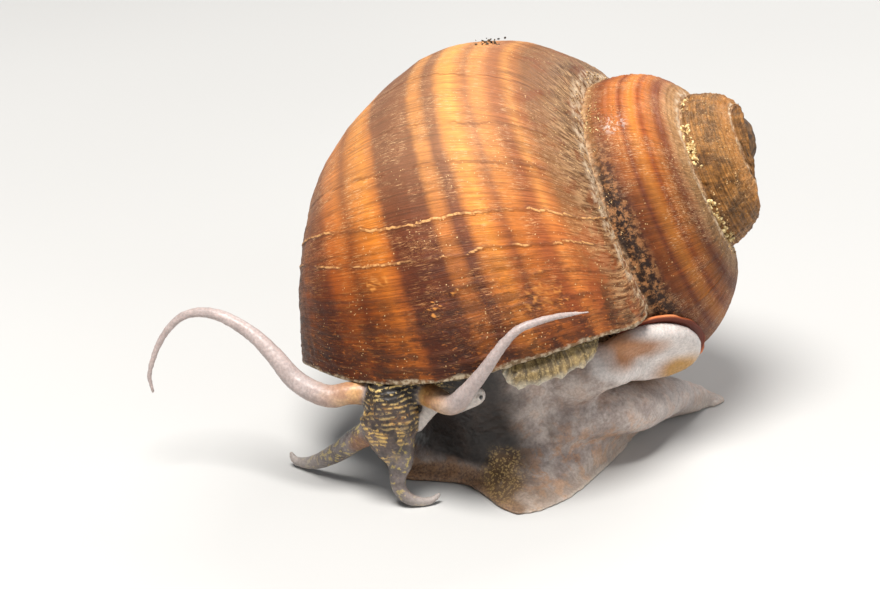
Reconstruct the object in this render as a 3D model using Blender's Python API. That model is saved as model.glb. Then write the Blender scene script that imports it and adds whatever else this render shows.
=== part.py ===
"""A striped snail (an apple snail of the genus Lanistes) crawling with its head out.

The shell is one logarithmic spiral tube that turns to the left, so every whorl is the
same section, turned about the shell's axis and scaled. Its lip is oblique, and the
aperture is a shallow cup that the mantle fills. The apex is worn off along a plane.
The flesh is a broad foot, a stem up into the aperture, and a head hanging under the lip
with two long feelers, two short palps and two stalked eyes. The horny operculum rides on
the back of the foot.

Sizes are in millimetres, in the animal's own frame: +Z up, +X along the shell towards its
apex, the head towards -X and -Y, and the floor at Z = 0.
"""
import math

import bmesh
import bpy
from mathutils import Vector

MM = 0.001
GAP = 0.3                        # clearance between neighbouring solids
WELD_DISTANCE = 0.01             # points closer than this are one
PLAN_CENTRE = Vector((1.45, 3.21, 0.0))   # middle of the animal's plan box
BLOCK_SIZE = 60.0                # of a block that cuts away all beyond a plane
SHORTEST_STRETCH = 0.2           # least distance from a cut to the next point of a curve
SHARP_ANGLE = 50.0               # edges sharper than this are not shaded smooth

# Shell: axis, spiral and section. Angles are in degrees.
APEX = Vector((29.1, 5.6, 27.35))      # where the spiral would end if it were not worn
AXIS_RISE = 31.7
AXIS_HEADING = -4.45
WHORL_GROWTH = 1.876             # size ratio from one whorl to the next
SECTION_RADIUS = 10.03           # from the axis to the section's middle, at angle 0
SECTION_DROP = 24.82             # from the apex down the axis to the same place
HALF_OUT = 9.46                  # section half-sizes: outwards, inwards,
HALF_IN = 9.19
HALF_UP = 11.39                  # towards the apex, and towards the base
HALF_DOWN = 14.16
SECTION_LEAN = -6.14
SHOULDER_POWER = 1.71            # superellipse power of the upper outer quarter
BELLY_POWER = 2.08               # and of the other three
WHORL_JOINS = (-245.0, -600.0, -800.0, -960.0)   # each piece is under one turn
RING_STEP = 19.5
SECTION_POINTS = 22
JOIN_OVERLAP = 2.5               # how far a whorl starts inside the one before, before cutting
JOIN_CLEARANCE = 3.0             # turn left free where two whorls meet end to end

# Lip: turning angle of the edge at places round the section, from base to suture.
LIP_EDGE = ((-150, 66.0), (-105, 63.5), (-60, 69.6), (-33, 78.8), (-4, 86.9), (27, 92.2),
            (57, 99.0), (90, 111.0), (125, 108.0), (165, 90.0))
LIP_WALL = 0.945                 # inside of the lip as a part of the section
CUP_WALL = 0.93
CUP_TURN = 13.0                  # how far the cup goes back from the lip
LIP_BLEND = 45.0                 # turn where the rings start to slant towards the lip
LIP_BLEND_SHARES = (0.33, 0.66, 1.0)
CUTTER_TURN = 1.5                # how far the cutting shape reaches past the lip
CUTTER_WALL = 0.03               # and how much thinner its wall is
MANTLE_FRONT = 4.0               # mantle's face, back from the lip
MANTLE_WALL = 0.89               # mantle's edge as a part of the section

# The worn apex: a plane across the spire, and how far the core stands out of it.
WEAR_POINT = Vector((25.9, 4.2, 23.9))
WEAR_NORMAL = Vector((0.978, 0.079, 0.195))
CORE_HEIGHT = 0.8

# Foot: outline of the sole, front first and then round by the near side to the tail.
SOLE = ((-2.3, -7.4), (0.4, -7.7), (2.6, -8.5), (4.1, -10.8), (5.3, -12.9), (6.6, -14.2),
        (8.6, -13.3), (10.9, -10.9), (13.3, -6.6), (15.7, -1.7), (16.8, 1.4), (18.3, 3.6),
        (21.2, 5.7), (24.2, 7.3), (25.2, 8.6), (23.9, 10.2), (20.5, 12.1), (15.0, 13.2),
        (9.0, 12.6), (3.6, 10.2), (-0.6, 6.4), (-3.4, 2.0), (-4.7, -2.2), (-4.3, -5.9))
# Ridge of the foot's back: x, y and height.
FOOT_RIDGE = ((1.5, -5.5, 2.6), (5.0, -2.0, 3.8), (9.0, 1.5, 4.0), (13.0, 5.0, 3.5),
              (17.4, 8.6, 3.0), (20.4, 9.1, 2.3), (23.3, 8.8, 1.2))
SOLE_RIM = 0.5                   # thickness of the foot's edge
FOOT_RINGS = ((0.0, 0.0), (0.10, 0.24), (0.30, 0.50), (0.60, 0.80), (0.85, 0.96))
FOOT_CUTS = (2.0, 13.0)          # distances of the two cuts along the foot
FOOT_HEADING = Vector((0.62, 0.78, 0.0))

# Tubes of flesh: x, y, z of the middle line, half-width across and half-depth.
STEM = ((6.6, -1.6, 1.0, 8.0, 6.4), (5.9, -2.2, 3.0, 7.6, 6.0), (4.6, -3.4, 6.5, 7.2, 5.8),
        (3.2, -4.6, 10.0, 7.6, 5.9), (2.6, -4.9, 13.5, 7.8, 6.0))
NECK = ((0.6, -7.0, 12.6, 3.0, 2.6), (-2.6, -10.0, 11.0, 2.5, 2.1),
        (-3.7, -11.3, 9.4, 2.25, 1.9), (-3.9, -11.8, 7.9, 2.2, 1.85))
HEAD = ((-3.9, -11.9, 7.7, 2.2, 1.85), (-4.0, -12.0, 6.6, 2.25, 1.8),
        (-3.9, -12.1, 5.5, 1.9, 1.5), (-3.7, -12.1, 4.7, 1.2, 1.0))
PALP_LEFT = ((-3.1, -12.2, 5.6, 1.35, 1.2), (-3.2, -12.3, 3.8, 1.15, 1.0),
             (-3.4, -12.4, 2.8, 0.72, 0.66), (-3.3, -12.4, 1.7, 0.60, 0.56),
             (-2.6, -12.5, 0.75, 0.52, 0.50), (-1.5, -12.4, 0.36, 0.42, 0.36),
             (-0.6, -12.1, 0.42, 0.34, 0.30), (-0.1, -11.8, 0.75, 0.28, 0.28))
PALP_RIGHT = ((-5.1, -11.5, 6.7, 1.15, 1.1), (-6.6, -10.1, 5.0, 0.95, 0.95),
              (-8.3, -8.4, 3.0, 0.85, 0.8), (-10.0, -6.7, 1.35, 0.68, 0.6),
              (-11.3, -5.5, 0.55, 0.52, 0.48), (-12.1, -5.0, 0.62, 0.40, 0.36),
              (-12.4, -4.8, 1.15, 0.28, 0.28))
FEELER_LEFT = ((-0.5, -12.6, 9.8, 0.95, 0.95), (0.9, -14.2, 9.8, 0.84, 0.84),
               (2.0, -15.2, 11.2, 0.70, 0.70), (3.0, -16.0, 12.85, 0.60, 0.60),
               (4.0, -16.5, 14.55, 0.52, 0.52), (5.0, -16.7, 16.1, 0.45, 0.45),
               (6.0, -16.5, 17.0, 0.41, 0.41), (7.0, -16.2, 17.4, 0.38, 0.38),
               (8.7, -15.6, 17.6, 0.32, 0.32), (10.3, -15.2, 17.7, 0.29, 0.29),
               (11.5, -14.9, 17.7, 0.28, 0.28))
FEELER_RIGHT = ((-5.4, -11.1, 9.2, 1.00, 1.00), (-7.3, -10.9, 9.0, 0.94, 0.94),
                (-8.8, -10.8, 8.6, 0.92, 0.92), (-10.5, -10.5, 9.1, 0.90, 0.90),
                (-12.0, -9.9, 10.0, 0.84, 0.84), (-13.3, -9.2, 11.4, 0.74, 0.74),
                (-15.0, -8.3, 12.8, 0.64, 0.64), (-17.1, -7.4, 13.9, 0.55, 0.55),
                (-18.9, -6.8, 14.4, 0.46, 0.46), (-20.8, -6.4, 14.1, 0.38, 0.38),
                (-22.1, -6.2, 13.2, 0.34, 0.34), (-23.1, -6.0, 11.6, 0.31, 0.31),
                (-23.7, -6.0, 10.1, 0.30, 0.30), (-23.9, -6.0, 8.9, 0.29, 0.29),
                (-23.6, -6.0, 7.7, 0.28, 0.28))
FEELER_CUTS = (0.30, 0.64)       # where a feeler is parted, as parts of its length
FEELER_CUT_WIDTH = 0.010
TUBE_SIDES = 14                  # of the neck and head
FEELER_SIDES = 8                 # of the feelers, palps, eye stalks and flap
STEM_SIDES = 18
BALL_RINGS = 6                   # steps from pole to pole
BALL_SIDES = 8
DOME_TURNS = (0.6, 1.1)          # radians round the dome at a tube's end
FLAT_ENDS = (0.0, 0.999)         # span of a tube whose far end is left flat

# Eyes: a dark ball sunk in the outer side of a pale bulb on a short stalk.
EYE_RADIUS = 0.30
EYE_GAP = 0.12
EYE_LEFT = Vector((3.1, -14.85, 10.75))
EYE_RIGHT = Vector((-7.35, -8.35, 8.25))
EYE_STALK_LEFT = ((1.3, -14.1, 9.5, 0.5, 0.5), (2.3, -14.3, 10.1, 0.46, 0.46),
                  (2.8, -14.3, 10.4, 0.60, 0.60), (3.1, -14.3, 10.65, 0.62, 0.62))
EYE_STALK_RIGHT = ((-6.6, -10.4, 8.9, 0.5, 0.5), (-6.9, -9.5, 8.5, 0.46, 0.46),
                   (-7.0, -9.1, 8.35, 0.60, 0.60), (-7.1, -8.8, 8.25, 0.62, 0.62))

# Mantle flap (siphon) that hangs inside the near lip.
FLAP = ((4.9, -13.2, 12.2, 0.9, 0.45), (5.9, -13.3, 11.4, 1.5, 0.5),
        (8.0, -12.9, 11.9, 1.7, 0.5), (10.2, -12.1, 12.5, 1.6, 0.5),
        (11.6, -11.2, 13.0, 1.5, 0.45), (12.4, -10.6, 13.4, 0.9, 0.4))

# Operculum: a thin dished oval under the spire, and the cushion of flesh that bears it.
OPERCULUM_CENTRE = Vector((17.3, -3.7, 9.8))
OPERCULUM_FACE = Vector((0.418, -0.77, -0.429))   # points down to the flesh
OPERCULUM_LONG = Vector((0.80, 0.58, -0.20))
OPERCULUM_HALF = (5.9, 4.9)
LOWER_SHARE = 0.74               # the oval's lower half is flatter than its upper half
OPERCULUM_THICK = 0.5
OPERCULUM_DISH = 0.5
PLATE_RINGS = (0.25, 0.6, 0.85, 1.0)   # of its rings, as parts of the full oval
LOBE_HALF = (5.4, 3.75)
# The cushion's rings: part of the full oval, and distance out from the plate.
LOBE_RINGS = ((0.5, -0.2), (0.95, 0.3), (1.0, 0.8), (0.95, 1.5), (0.75, 2.1), (0.4, 2.4))

COLOURS = {
    "shell": ((0.56, 0.26, 0.06), 0.45),
    "worn": ((0.22, 0.13, 0.06), 0.75),
    "horn": ((0.35, 0.11, 0.04), 0.4),
    "flesh": ((0.30, 0.22, 0.19), 0.5),
    "pale": ((0.62, 0.50, 0.47), 0.45),
    "dark": ((0.07, 0.05, 0.04), 0.5),
    "eye": ((0.60, 0.58, 0.55), 0.15),
}


def clear_scene():
    for obj in list(bpy.data.objects):
        bpy.data.objects.remove(obj, do_unlink=True)


def finish_material(name, finish):
    material = bpy.data.materials.new(name)
    material.use_nodes = True
    colour, roughness = COLOURS[finish]
    shader = material.node_tree.nodes["Principled BSDF"]
    shader.inputs["Base Color"].default_value = (*colour, 1.0)
    shader.inputs["Roughness"].default_value = roughness
    shader.inputs["Metallic"].default_value = 0.0
    material.diffuse_color = (*colour, 1.0)
    return material


BLANKS = {}                      # each solid's shape before its neighbours are cut out of it
TOOLS = {}                       # cutting shapes of the whorls, already a gap too large


# ---------------------------------------------------------------- meshes

def to_world(point):
    """Metres from the middle of the plan, and never below the floor."""
    place = (Vector(point) - PLAN_CENTRE) * MM
    place.z = max(place.z, 0.0)
    return place


def closed_mesh(name, verts, faces):
    """A closed mesh from millimetre points, with its faces out."""
    mesh = bpy.data.meshes.new(name)
    mesh.from_pydata([to_world(v) for v in verts], [], faces)
    bm = bmesh.new()
    bm.from_mesh(mesh)
    bmesh.ops.triangulate(bm, faces=[f for f in bm.faces if len(f.verts) > 4])
    bmesh.ops.recalc_face_normals(bm, faces=bm.faces)
    if bm.calc_volume(signed=True) < 0:
        bmesh.ops.reverse_faces(bm, faces=bm.faces)
    bm.to_mesh(mesh)
    bm.free()
    return mesh


def place_object(name, mesh, finish=None):
    if finish:
        mesh.materials.append(finish_material(name, finish))
        BLANKS[name] = mesh.copy()
    obj = bpy.data.objects.new(name, mesh)
    bpy.context.scene.collection.objects.link(obj)
    return obj


def skin_rings(rings):
    """Points and faces over a list of like rings, closed by a point at each end."""
    count = len(rings[0])
    verts = [point for ring in rings for point in ring]
    faces = []
    for k in range(len(rings) - 1):
        for i in range(count):
            j = (i + 1) % count
            faces.append((k * count + i, k * count + j, (k + 1) * count + j, (k + 1) * count + i))
    for k in (0, len(rings) - 1):
        verts.append(sum((Vector(p) for p in rings[k]), Vector()) / count)
        for i in range(count):
            faces.append((k * count + i, k * count + (i + 1) % count, len(verts) - 1))
    return verts, faces


def loft(name, rings, finish):
    return place_object(name, closed_mesh(name, *skin_rings(rings)), finish)


def curve_through(stations, steps):
    """Points on a smooth curve (Catmull-Rom) through the stations, all values carried along."""
    rows = [list(s) for s in stations]
    first = [2 * a - b for a, b in zip(rows[0], rows[1])]
    last = [2 * a - b for a, b in zip(rows[-1], rows[-2])]
    rows = [first] + rows + [last]
    out = []
    for k in range(1, len(rows) - 2):
        before, a, b, after = rows[k - 1:k + 3]
        for i in range(steps):
            t = i / steps
            out.append([0.5 * (2 * p1 + (p2 - p0) * t + (2 * p0 - 5 * p1 + 4 * p2 - p3) * t ** 2
                               + (3 * p1 - p0 - 3 * p2 + p3) * t ** 3)
                        for p0, p1, p2, p3 in zip(before, a, b, after)])
    out.append(rows[-2])
    return out


def part_of_curve(points, start, end):
    """The stretch of a curve between two parts of its length."""
    lengths = [0.0]
    for a, b in zip(points, points[1:]):
        lengths.append(lengths[-1] + (Vector(b[:3]) - Vector(a[:3])).length)
    total = lengths[-1]

    def at(length):
        for k in range(1, len(lengths)):
            if length <= lengths[k] + 1e-9:
                t = (length - lengths[k - 1]) / (lengths[k] - lengths[k - 1])
                return [a + (b - a) * t for a, b in zip(points[k - 1], points[k])]
        return list(points[-1])

    inner = [p for p, s in zip(points, lengths)
             if start * total + SHORTEST_STRETCH < s < end * total - SHORTEST_STRETCH]
    return [at(start * total)] + inner + [at(end * total)]


def tube_rings(points, sides):
    """Rings round a middle line; the first half-size lies across, the second in depth."""
    rings = []
    for k, row in enumerate(points):
        here = Vector(row[:3])
        ahead = Vector(points[min(k + 1, len(points) - 1)][:3])
        behind = Vector(points[max(k - 1, 0)][:3])
        along = (ahead - behind).normalized()
        if k == 0:
            depth = Vector((0.2, 1.0, 0.1))
        depth = (depth - along * depth.dot(along)).normalized()
        across = depth.cross(along)
        rings.append([here + across * (row[3] * math.cos(a)) + depth * (row[4] * math.sin(a))
                      for a in (2 * math.pi * i / sides for i in range(sides))])
    return rings


def tube(name, stations, sides, steps, finish, span=(0.0, 1.0)):
    points = part_of_curve(curve_through(stations, steps), *span)
    rings = tube_rings(points, sides)
    if span[1] == 1.0:
        rings = rounded_end(points, rings)
    return loft(name, rings, finish)


def rounded_end(points, rings):
    """The rings of a tube with two shrinking ones after the last, so that its end is a dome."""
    tip = Vector(points[-1][:3])
    along = (tip - Vector(points[-2][:3])).normalized()
    reach = min(points[-1][3:5])
    caps = []
    for turn in DOME_TURNS:
        middle = tip + along * (reach * math.sin(turn))
        caps.append([middle + (Vector(p) - tip) * math.cos(turn) for p in rings[-1]])
    return rings + caps


def settle(obj):
    """Replaces an object's mesh by the mesh its modifiers make."""
    graph = bpy.context.evaluated_depsgraph_get()
    mesh = bpy.data.meshes.new_from_object(obj.evaluated_get(graph))
    obj.modifiers.clear()
    old = obj.data
    obj.data = mesh
    bpy.data.meshes.remove(old)


def is_closed(bm):
    return all(len(edge.link_faces) == 2 for edge in bm.edges)


def weld(obj):
    """Joins the points a cut leaves almost on top of each other, if the mesh stays closed."""
    bm = bmesh.new()
    bm.from_mesh(obj.data)
    bmesh.ops.triangulate(bm, faces=bm.faces)
    bmesh.ops.remove_doubles(bm, verts=bm.verts, dist=WELD_DISTANCE * MM)
    bmesh.ops.dissolve_degenerate(bm, edges=bm.edges, dist=WELD_DISTANCE * MM)
    if is_closed(bm):
        bm.to_mesh(obj.data)
    bm.free()


def keep_largest(obj):
    """Deletes the crumbs a cut leaves beside the main body."""
    bm = bmesh.new()
    bm.from_mesh(obj.data)
    left = set(bm.verts)
    groups = []
    while left:
        group = set()
        stack = [left.pop()]
        while stack:
            vert = stack.pop()
            group.add(vert)
            for edge in vert.link_edges:
                other = edge.other_vert(vert)
                if other in left:
                    left.remove(other)
                    stack.append(other)
        groups.append(group)
    groups.sort(key=len, reverse=True)
    for group in groups[1:]:
        bmesh.ops.delete(bm, geom=list(group), context="VERTS")
    bm.to_mesh(obj.data)
    bm.free()


def boolean(obj, tool, operation):
    modifier = obj.modifiers.new("cut", "BOOLEAN")
    modifier.object = tool
    modifier.operation = operation
    modifier.solver = "EXACT"
    settle(obj)
    mesh = tool.data
    bpy.data.objects.remove(tool, do_unlink=True)
    bpy.data.meshes.remove(mesh)
    weld(obj)


def swollen_blank(name, gap):
    """A solid's uncut shape, pushed out along its normals by the gap, as a cutting tool."""
    if name in TOOLS:
        return place_object(name + "_tool", TOOLS[name].copy())
    mesh = BLANKS[name].copy()
    bm = bmesh.new()
    bm.from_mesh(mesh)
    bm.normal_update()
    shifts = [(v, v.normal.copy()) for v in bm.verts]
    for vert, normal in shifts:
        vert.co += normal * (gap * MM)
    bm.to_mesh(mesh)
    bm.free()
    return place_object(name + "_tool", mesh)


def carve(obj, *neighbours, gap=GAP):
    """Cuts an object back from its neighbours, leaving the gap between them."""
    for name in neighbours:
        boolean(obj, swollen_blank(name, gap), "DIFFERENCE")
    keep_largest(obj)
    return obj


def block_beyond(point, normal):
    """A big block on the far side of a plane, as a cutting tool."""
    size = BLOCK_SIZE
    turn = Vector((0, 0, 1)).rotation_difference(normal.normalized()).to_matrix()
    corners = [(x, y, z) for z in (0, size) for y in (-size, size) for x in (-size, size)]
    mesh = bpy.data.meshes.new("block")
    verts = [(point + turn @ Vector(c) - PLAN_CENTRE) * MM for c in corners]
    faces = [(0, 2, 3, 1), (4, 5, 7, 6), (0, 1, 5, 4), (2, 6, 7, 3), (0, 4, 6, 2), (1, 3, 7, 5)]
    mesh.from_pydata(verts, [], faces)
    return place_object("block", mesh)


# ---------------------------------------------------------------- shell

def shell_directions():
    rise = math.radians(AXIS_RISE)
    heading = math.radians(AXIS_HEADING)
    axis = Vector((math.cos(rise) * math.cos(heading), math.cos(rise) * math.sin(heading),
                   math.sin(rise)))
    top = (Vector((0, 0, 1)) - axis * axis.z).normalized()
    return axis, top, axis.cross(top)


def section_point(psi, scale=1.0, extra=0.0):
    """Radius and height of the whorl's section at an angle round it; 0 faces out."""
    a = math.radians(psi)
    c, s = math.cos(a), math.sin(a)
    power = SHOULDER_POWER if (c > 0 and s > 0) else BELLY_POWER
    reach = scale * (abs(c) ** power + abs(s) ** power) ** (-1 / power)
    x = reach * c * (HALF_OUT + extra if c > 0 else HALF_IN)
    y = reach * s * ((HALF_UP if s > 0 else HALF_DOWN) + extra)
    lean = math.radians(SECTION_LEAN)
    return (SECTION_RADIUS + x * math.cos(lean) - y * math.sin(lean),
            -SECTION_DROP + x * math.sin(lean) + y * math.cos(lean))


def shell_point(turn, psi, scale=1.0, gap=0.0):
    axis, top, near = shell_directions()
    growth = WHORL_GROWTH ** (turn / 360.0)
    radius, height = section_point(psi, scale, gap / growth)
    a = math.radians(turn)
    outward = top * math.cos(a) + near * math.sin(a)
    return APEX + (outward * radius + axis * height) * growth


def section_angles():
    return [-180.0 + 360.0 * i / SECTION_POINTS for i in range(SECTION_POINTS)]


def shell_ring(turn, gap=0.0):
    return [shell_point(turn, psi, 1.0, gap) for psi in section_angles()]


def lip_turn(psi):
    """Turning angle of the lip's edge, from the named points, smoothly and all round."""
    psi = (psi + 180.0) % 360.0 - 180.0
    before = LIP_EDGE[-2:]
    after = LIP_EDGE[:2]
    knots = ([(p - 360.0, t) for p, t in before] + list(LIP_EDGE)
             + [(p + 360.0, t) for p, t in after])
    for k in range(1, len(knots) - 2):
        if knots[k][0] <= psi <= knots[k + 1][0]:
            (p0, t0), (p1, t1), (p2, t2), (p3, t3) = knots[k - 1:k + 3]
            f = (psi - p1) / (p2 - p1)
            m1 = (t2 - t0) / (p2 - p0) * (p2 - p1)
            m2 = (t3 - t1) / (p3 - p1) * (p2 - p1)
            return ((2 * f ** 3 - 3 * f ** 2 + 1) * t1 + (f ** 3 - 2 * f ** 2 + f) * m1
                    + (3 * f ** 2 - 2 * f ** 3) * t2 + (f ** 3 - f ** 2) * m2)
    return knots[-3][1]


def lip_ring(back, scale, gap=0.0):
    return [shell_point(lip_turn(psi) - back, psi, scale, gap) for psi in section_angles()]


def whorl_rings(start, end, gap=0.0):
    count = round((end - start) / RING_STEP)
    return [shell_ring(start + (end - start) * k / count, gap) for k in range(count + 1)]


def whorl(name, start, end, finish, overlap=JOIN_OVERLAP):
    """One piece of the spiral tube, and the larger shape that cuts its neighbours."""
    cutter = whorl_rings(start, end + JOIN_CLEARANCE, GAP)
    TOOLS[name] = closed_mesh(name + "_tool", *skin_rings(cutter))
    return loft(name, whorl_rings(start - overlap, end), finish)


def body_rings(start, gap=0.0):
    """The last whorl, from its start to the lip and back down the inside of the cup."""
    back = -CUTTER_TURN if gap else 0.0
    thinner = CUTTER_WALL if gap else 0.0
    rings = whorl_rings(start, LIP_BLEND, gap)
    for share in LIP_BLEND_SHARES:
        rings.append([shell_point(LIP_BLEND + (lip_turn(psi) - back - LIP_BLEND) * share, psi,
                                  1.0, gap) for psi in section_angles()])
    rings.append(lip_ring(back, LIP_WALL - thinner))
    rings.append(lip_ring(CUP_TURN / 2, CUP_WALL - thinner))
    rings.append(lip_ring(CUP_TURN + 3 * back, CUP_WALL - thinner))
    return rings


def body_whorl():
    start = WHORL_JOINS[0]
    name = "shell_body_whorl"
    TOOLS[name] = closed_mesh(name + "_tool", *skin_rings(body_rings(start + 2.0, GAP)))
    return loft(name, body_rings(start - JOIN_OVERLAP), "shell")


def mantle():
    backs = (CUP_TURN - 1.0, (CUP_TURN + MANTLE_FRONT) / 2, MANTLE_FRONT)
    return loft("mantle_collar", [lip_ring(back, MANTLE_WALL) for back in backs], "dark")


def build_shell():
    joins = WHORL_JOINS
    core = whorl("shell_apex", joins[3], joins[2], "worn", overlap=0.0)
    third = whorl("shell_third_whorl", joins[2], joins[1], "worn")
    second = whorl("shell_second_whorl", joins[1], joins[0], "shell")
    body = body_whorl()
    boolean(core, block_beyond(WEAR_POINT + WEAR_NORMAL * CORE_HEIGHT, WEAR_NORMAL),
            "DIFFERENCE")
    keep_largest(core)
    boolean(third, block_beyond(WEAR_POINT, WEAR_NORMAL), "DIFFERENCE")
    carve(third, "shell_apex")
    carve(second, "shell_apex", "shell_third_whorl")
    carve(body, "shell_third_whorl", "shell_second_whorl")
    collar = carve(mantle(), "shell_body_whorl", "shell_second_whorl")
    return [body, second, third, core, collar]


# ---------------------------------------------------------------- flesh

def nearest_on_ridge(x, y, ridge):
    return min(ridge, key=lambda p: (p[0] - x) ** 2 + (p[1] - y) ** 2)


def foot():
    """The whole foot: rings from the sole's edge in and up to the ridge of its back."""
    outline = curve_through([(x, y) for x, y in SOLE + (SOLE[0],)], 2)[:-1]
    ridge = curve_through(FOOT_RIDGE, 6)
    count = len(outline)
    targets = [nearest_on_ridge(x, y, ridge) for x, y in outline]
    targets = [[(a + 2 * b + c) / 4 for a, b, c in
                zip(targets[i - 1], targets[i], targets[(i + 1) % count])] for i in range(count)]
    rings = [[(x, y, 0.0) for x, y in outline]]
    for inward, lift in FOOT_RINGS:
        rings.append([(x + (t[0] - x) * inward, y + (t[1] - y) * inward,
                       SOLE_RIM + (t[2] - SOLE_RIM) * lift)
                      for (x, y), t in zip(outline, targets)])
    verts = [p for ring in rings for p in ring]
    faces = [tuple(range(count))]
    for k in range(len(rings) - 1):
        for i in range(count):
            j = (i + 1) % count
            faces.append((k * count + i, k * count + j, (k + 1) * count + j, (k + 1) * count + i))
    top = (len(rings) - 1) * count
    faces.append(tuple(top + i for i in range(count)))
    return place_object("foot", closed_mesh("foot", verts, faces), "flesh")


def part_foot(whole):
    """Parts the foot with two thin cuts across it."""
    heading = FOOT_HEADING.normalized()
    marks = [None, *FOOT_CUTS, None]
    pieces = []
    for k, name in enumerate(("foot_front", "foot_middle", "foot_tail")):
        piece = bpy.data.objects.new(name, whole.data.copy())
        bpy.context.scene.collection.objects.link(piece)
        if marks[k] is not None:
            boolean(piece, block_beyond(heading * (marks[k] + GAP / 2), -heading), "DIFFERENCE")
        if marks[k + 1] is not None:
            boolean(piece, block_beyond(heading * (marks[k + 1] - GAP / 2), heading),
                    "DIFFERENCE")
        keep_largest(piece)
        pieces.append(piece)
    mesh = whole.data
    bpy.data.objects.remove(whole, do_unlink=True)
    bpy.data.meshes.remove(mesh)
    return pieces


def ball(name, centre, radius, finish):
    rings = []
    for lift in (math.pi * k / BALL_RINGS for k in range(1, BALL_RINGS)):
        rings.append([centre + Vector((math.cos(a) * math.sin(lift), math.sin(a) * math.sin(lift),
                                       -math.cos(lift))) * radius
                      for a in (2 * math.pi * i / BALL_SIDES for i in range(BALL_SIDES))])
    verts, faces = skin_rings(rings)
    verts[-2:] = [centre - Vector((0, 0, radius)), centre + Vector((0, 0, radius))]
    return place_object(name, closed_mesh(name, verts, faces), finish)


def feeler(side, stations):
    spans = ((0.0, FEELER_CUTS[0]), FEELER_CUTS, (FEELER_CUTS[1], 1.0))
    pieces = []
    for name, (start, end) in zip(("base", "middle", "tip"), spans):
        step = FEELER_CUT_WIDTH if start > 0 else 0.0
        pieces.append(tube(f"tentacle_{side}_{name}", stations, FEELER_SIDES, 2, "pale",
                           (start + step, end)))
    return pieces


def oval(half, lift, count=20):
    """A ring parallel to the operculum, so far from its middle towards the flesh."""
    face = OPERCULUM_FACE.normalized()
    long_way = (OPERCULUM_LONG - face * OPERCULUM_LONG.dot(face)).normalized()
    short_way = face.cross(long_way)
    ring = []
    for a in (2 * math.pi * i / count for i in range(count)):
        short_half = half[1] * (LOWER_SHARE if math.sin(a) < 0 else 1.0)
        ring.append(OPERCULUM_CENTRE + face * lift + long_way * (half[0] * math.cos(a))
                    + short_way * (short_half * math.sin(a)))
    return ring


def operculum():
    """The plate: a thin oval, dished so that its middle stands up towards the spire."""
    rings = []
    for shares, thick in ((PLATE_RINGS, 0.0), (PLATE_RINGS[::-1], OPERCULUM_THICK)):
        for share in shares:
            half = (OPERCULUM_HALF[0] * share, OPERCULUM_HALF[1] * share)
            rings.append(oval(half, -OPERCULUM_DISH * (1 - share ** 2) - thick))
    return loft("operculum", rings, "horn")


def operculum_lobe():
    """The cushion of flesh on the plate's underside."""
    rings = [oval((LOBE_HALF[0] * share, LOBE_HALF[1] * share), lift)
             for share, lift in LOBE_RINGS]
    return loft("operculum_lobe", rings, "pale")


def build_flesh():
    shell = ("shell_body_whorl", "shell_second_whorl", "mantle_collar")
    roots = ("tentacle_left_base", "tentacle_right_base")
    pieces = [ball("eye_left", EYE_LEFT, EYE_RADIUS, "eye"),
              ball("eye_right", EYE_RIGHT, EYE_RADIUS, "eye")]
    pieces += feeler("left", FEELER_LEFT) + feeler("right", FEELER_RIGHT)
    for side, stations in (("left", EYE_STALK_LEFT), ("right", EYE_STALK_RIGHT)):
        stalk = tube("eye_stalk_" + side, stations, FEELER_SIDES, 2, "pale")
        carve(stalk, "eye_" + side, gap=EYE_GAP)
        pieces.append(carve(stalk, f"tentacle_{side}_base"))
    neck = tube("neck", NECK, TUBE_SIDES, 2, "dark", FLAT_ENDS)
    head = tube("head", HEAD, TUBE_SIDES, 2, "flesh")
    palp_left = tube("palp_left", PALP_LEFT, FEELER_SIDES, 2, "flesh")
    palp_right = tube("palp_right", PALP_RIGHT, FEELER_SIDES, 2, "flesh")
    pieces += [carve(neck, *shell, *roots), carve(head, "neck", *roots),
               carve(palp_left, "head", "neck"), carve(palp_right, "head", "neck", "palp_left")]
    plate = carve(operculum(), "shell_body_whorl", "shell_second_whorl")
    pieces += [plate] + part_foot(foot())
    stem = tube("body_stem", STEM, STEM_SIDES, 2, "dark", FLAT_ENDS)
    pieces.append(carve(stem, *shell, *roots, "neck", "head", "foot", "operculum"))
    lobe = carve(operculum_lobe(), "operculum", "shell_body_whorl", "shell_second_whorl",
                 "body_stem", "foot")
    flap = tube("mantle_flap", FLAP, FEELER_SIDES, 2, "flesh")
    carve(flap, *shell, *roots, "body_stem", "operculum_lobe")
    return pieces + [lobe, flap]


def shade(objects):
    for obj in objects:
        obj.data.shade_smooth()
        obj.data.set_sharp_from_angle(angle=math.radians(SHARP_ANGLE))


def main():
    clear_scene()
    shade(build_shell() + build_flesh())


main()
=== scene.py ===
"""The looks of the striped snail: its shell, skin, eyes and operculum, with floor, light and camera.

The shell is drawn from its own spiral, fine enough to carry its growth lines, ridges and
scars as real shape. The flesh is one mesh, made from overlapping shapes that are joined,
smoothed and roughened; only the mantle's flap hangs clear of the rest. Lengths are in
millimetres in the animal's own frame until they become meshes; that frame's middle is moved
to the model's origin there. Shell places are given by a growth angle, which grows towards
the lip, and by psi, the angle round the tube's section; both are in degrees.
"""

import math

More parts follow.
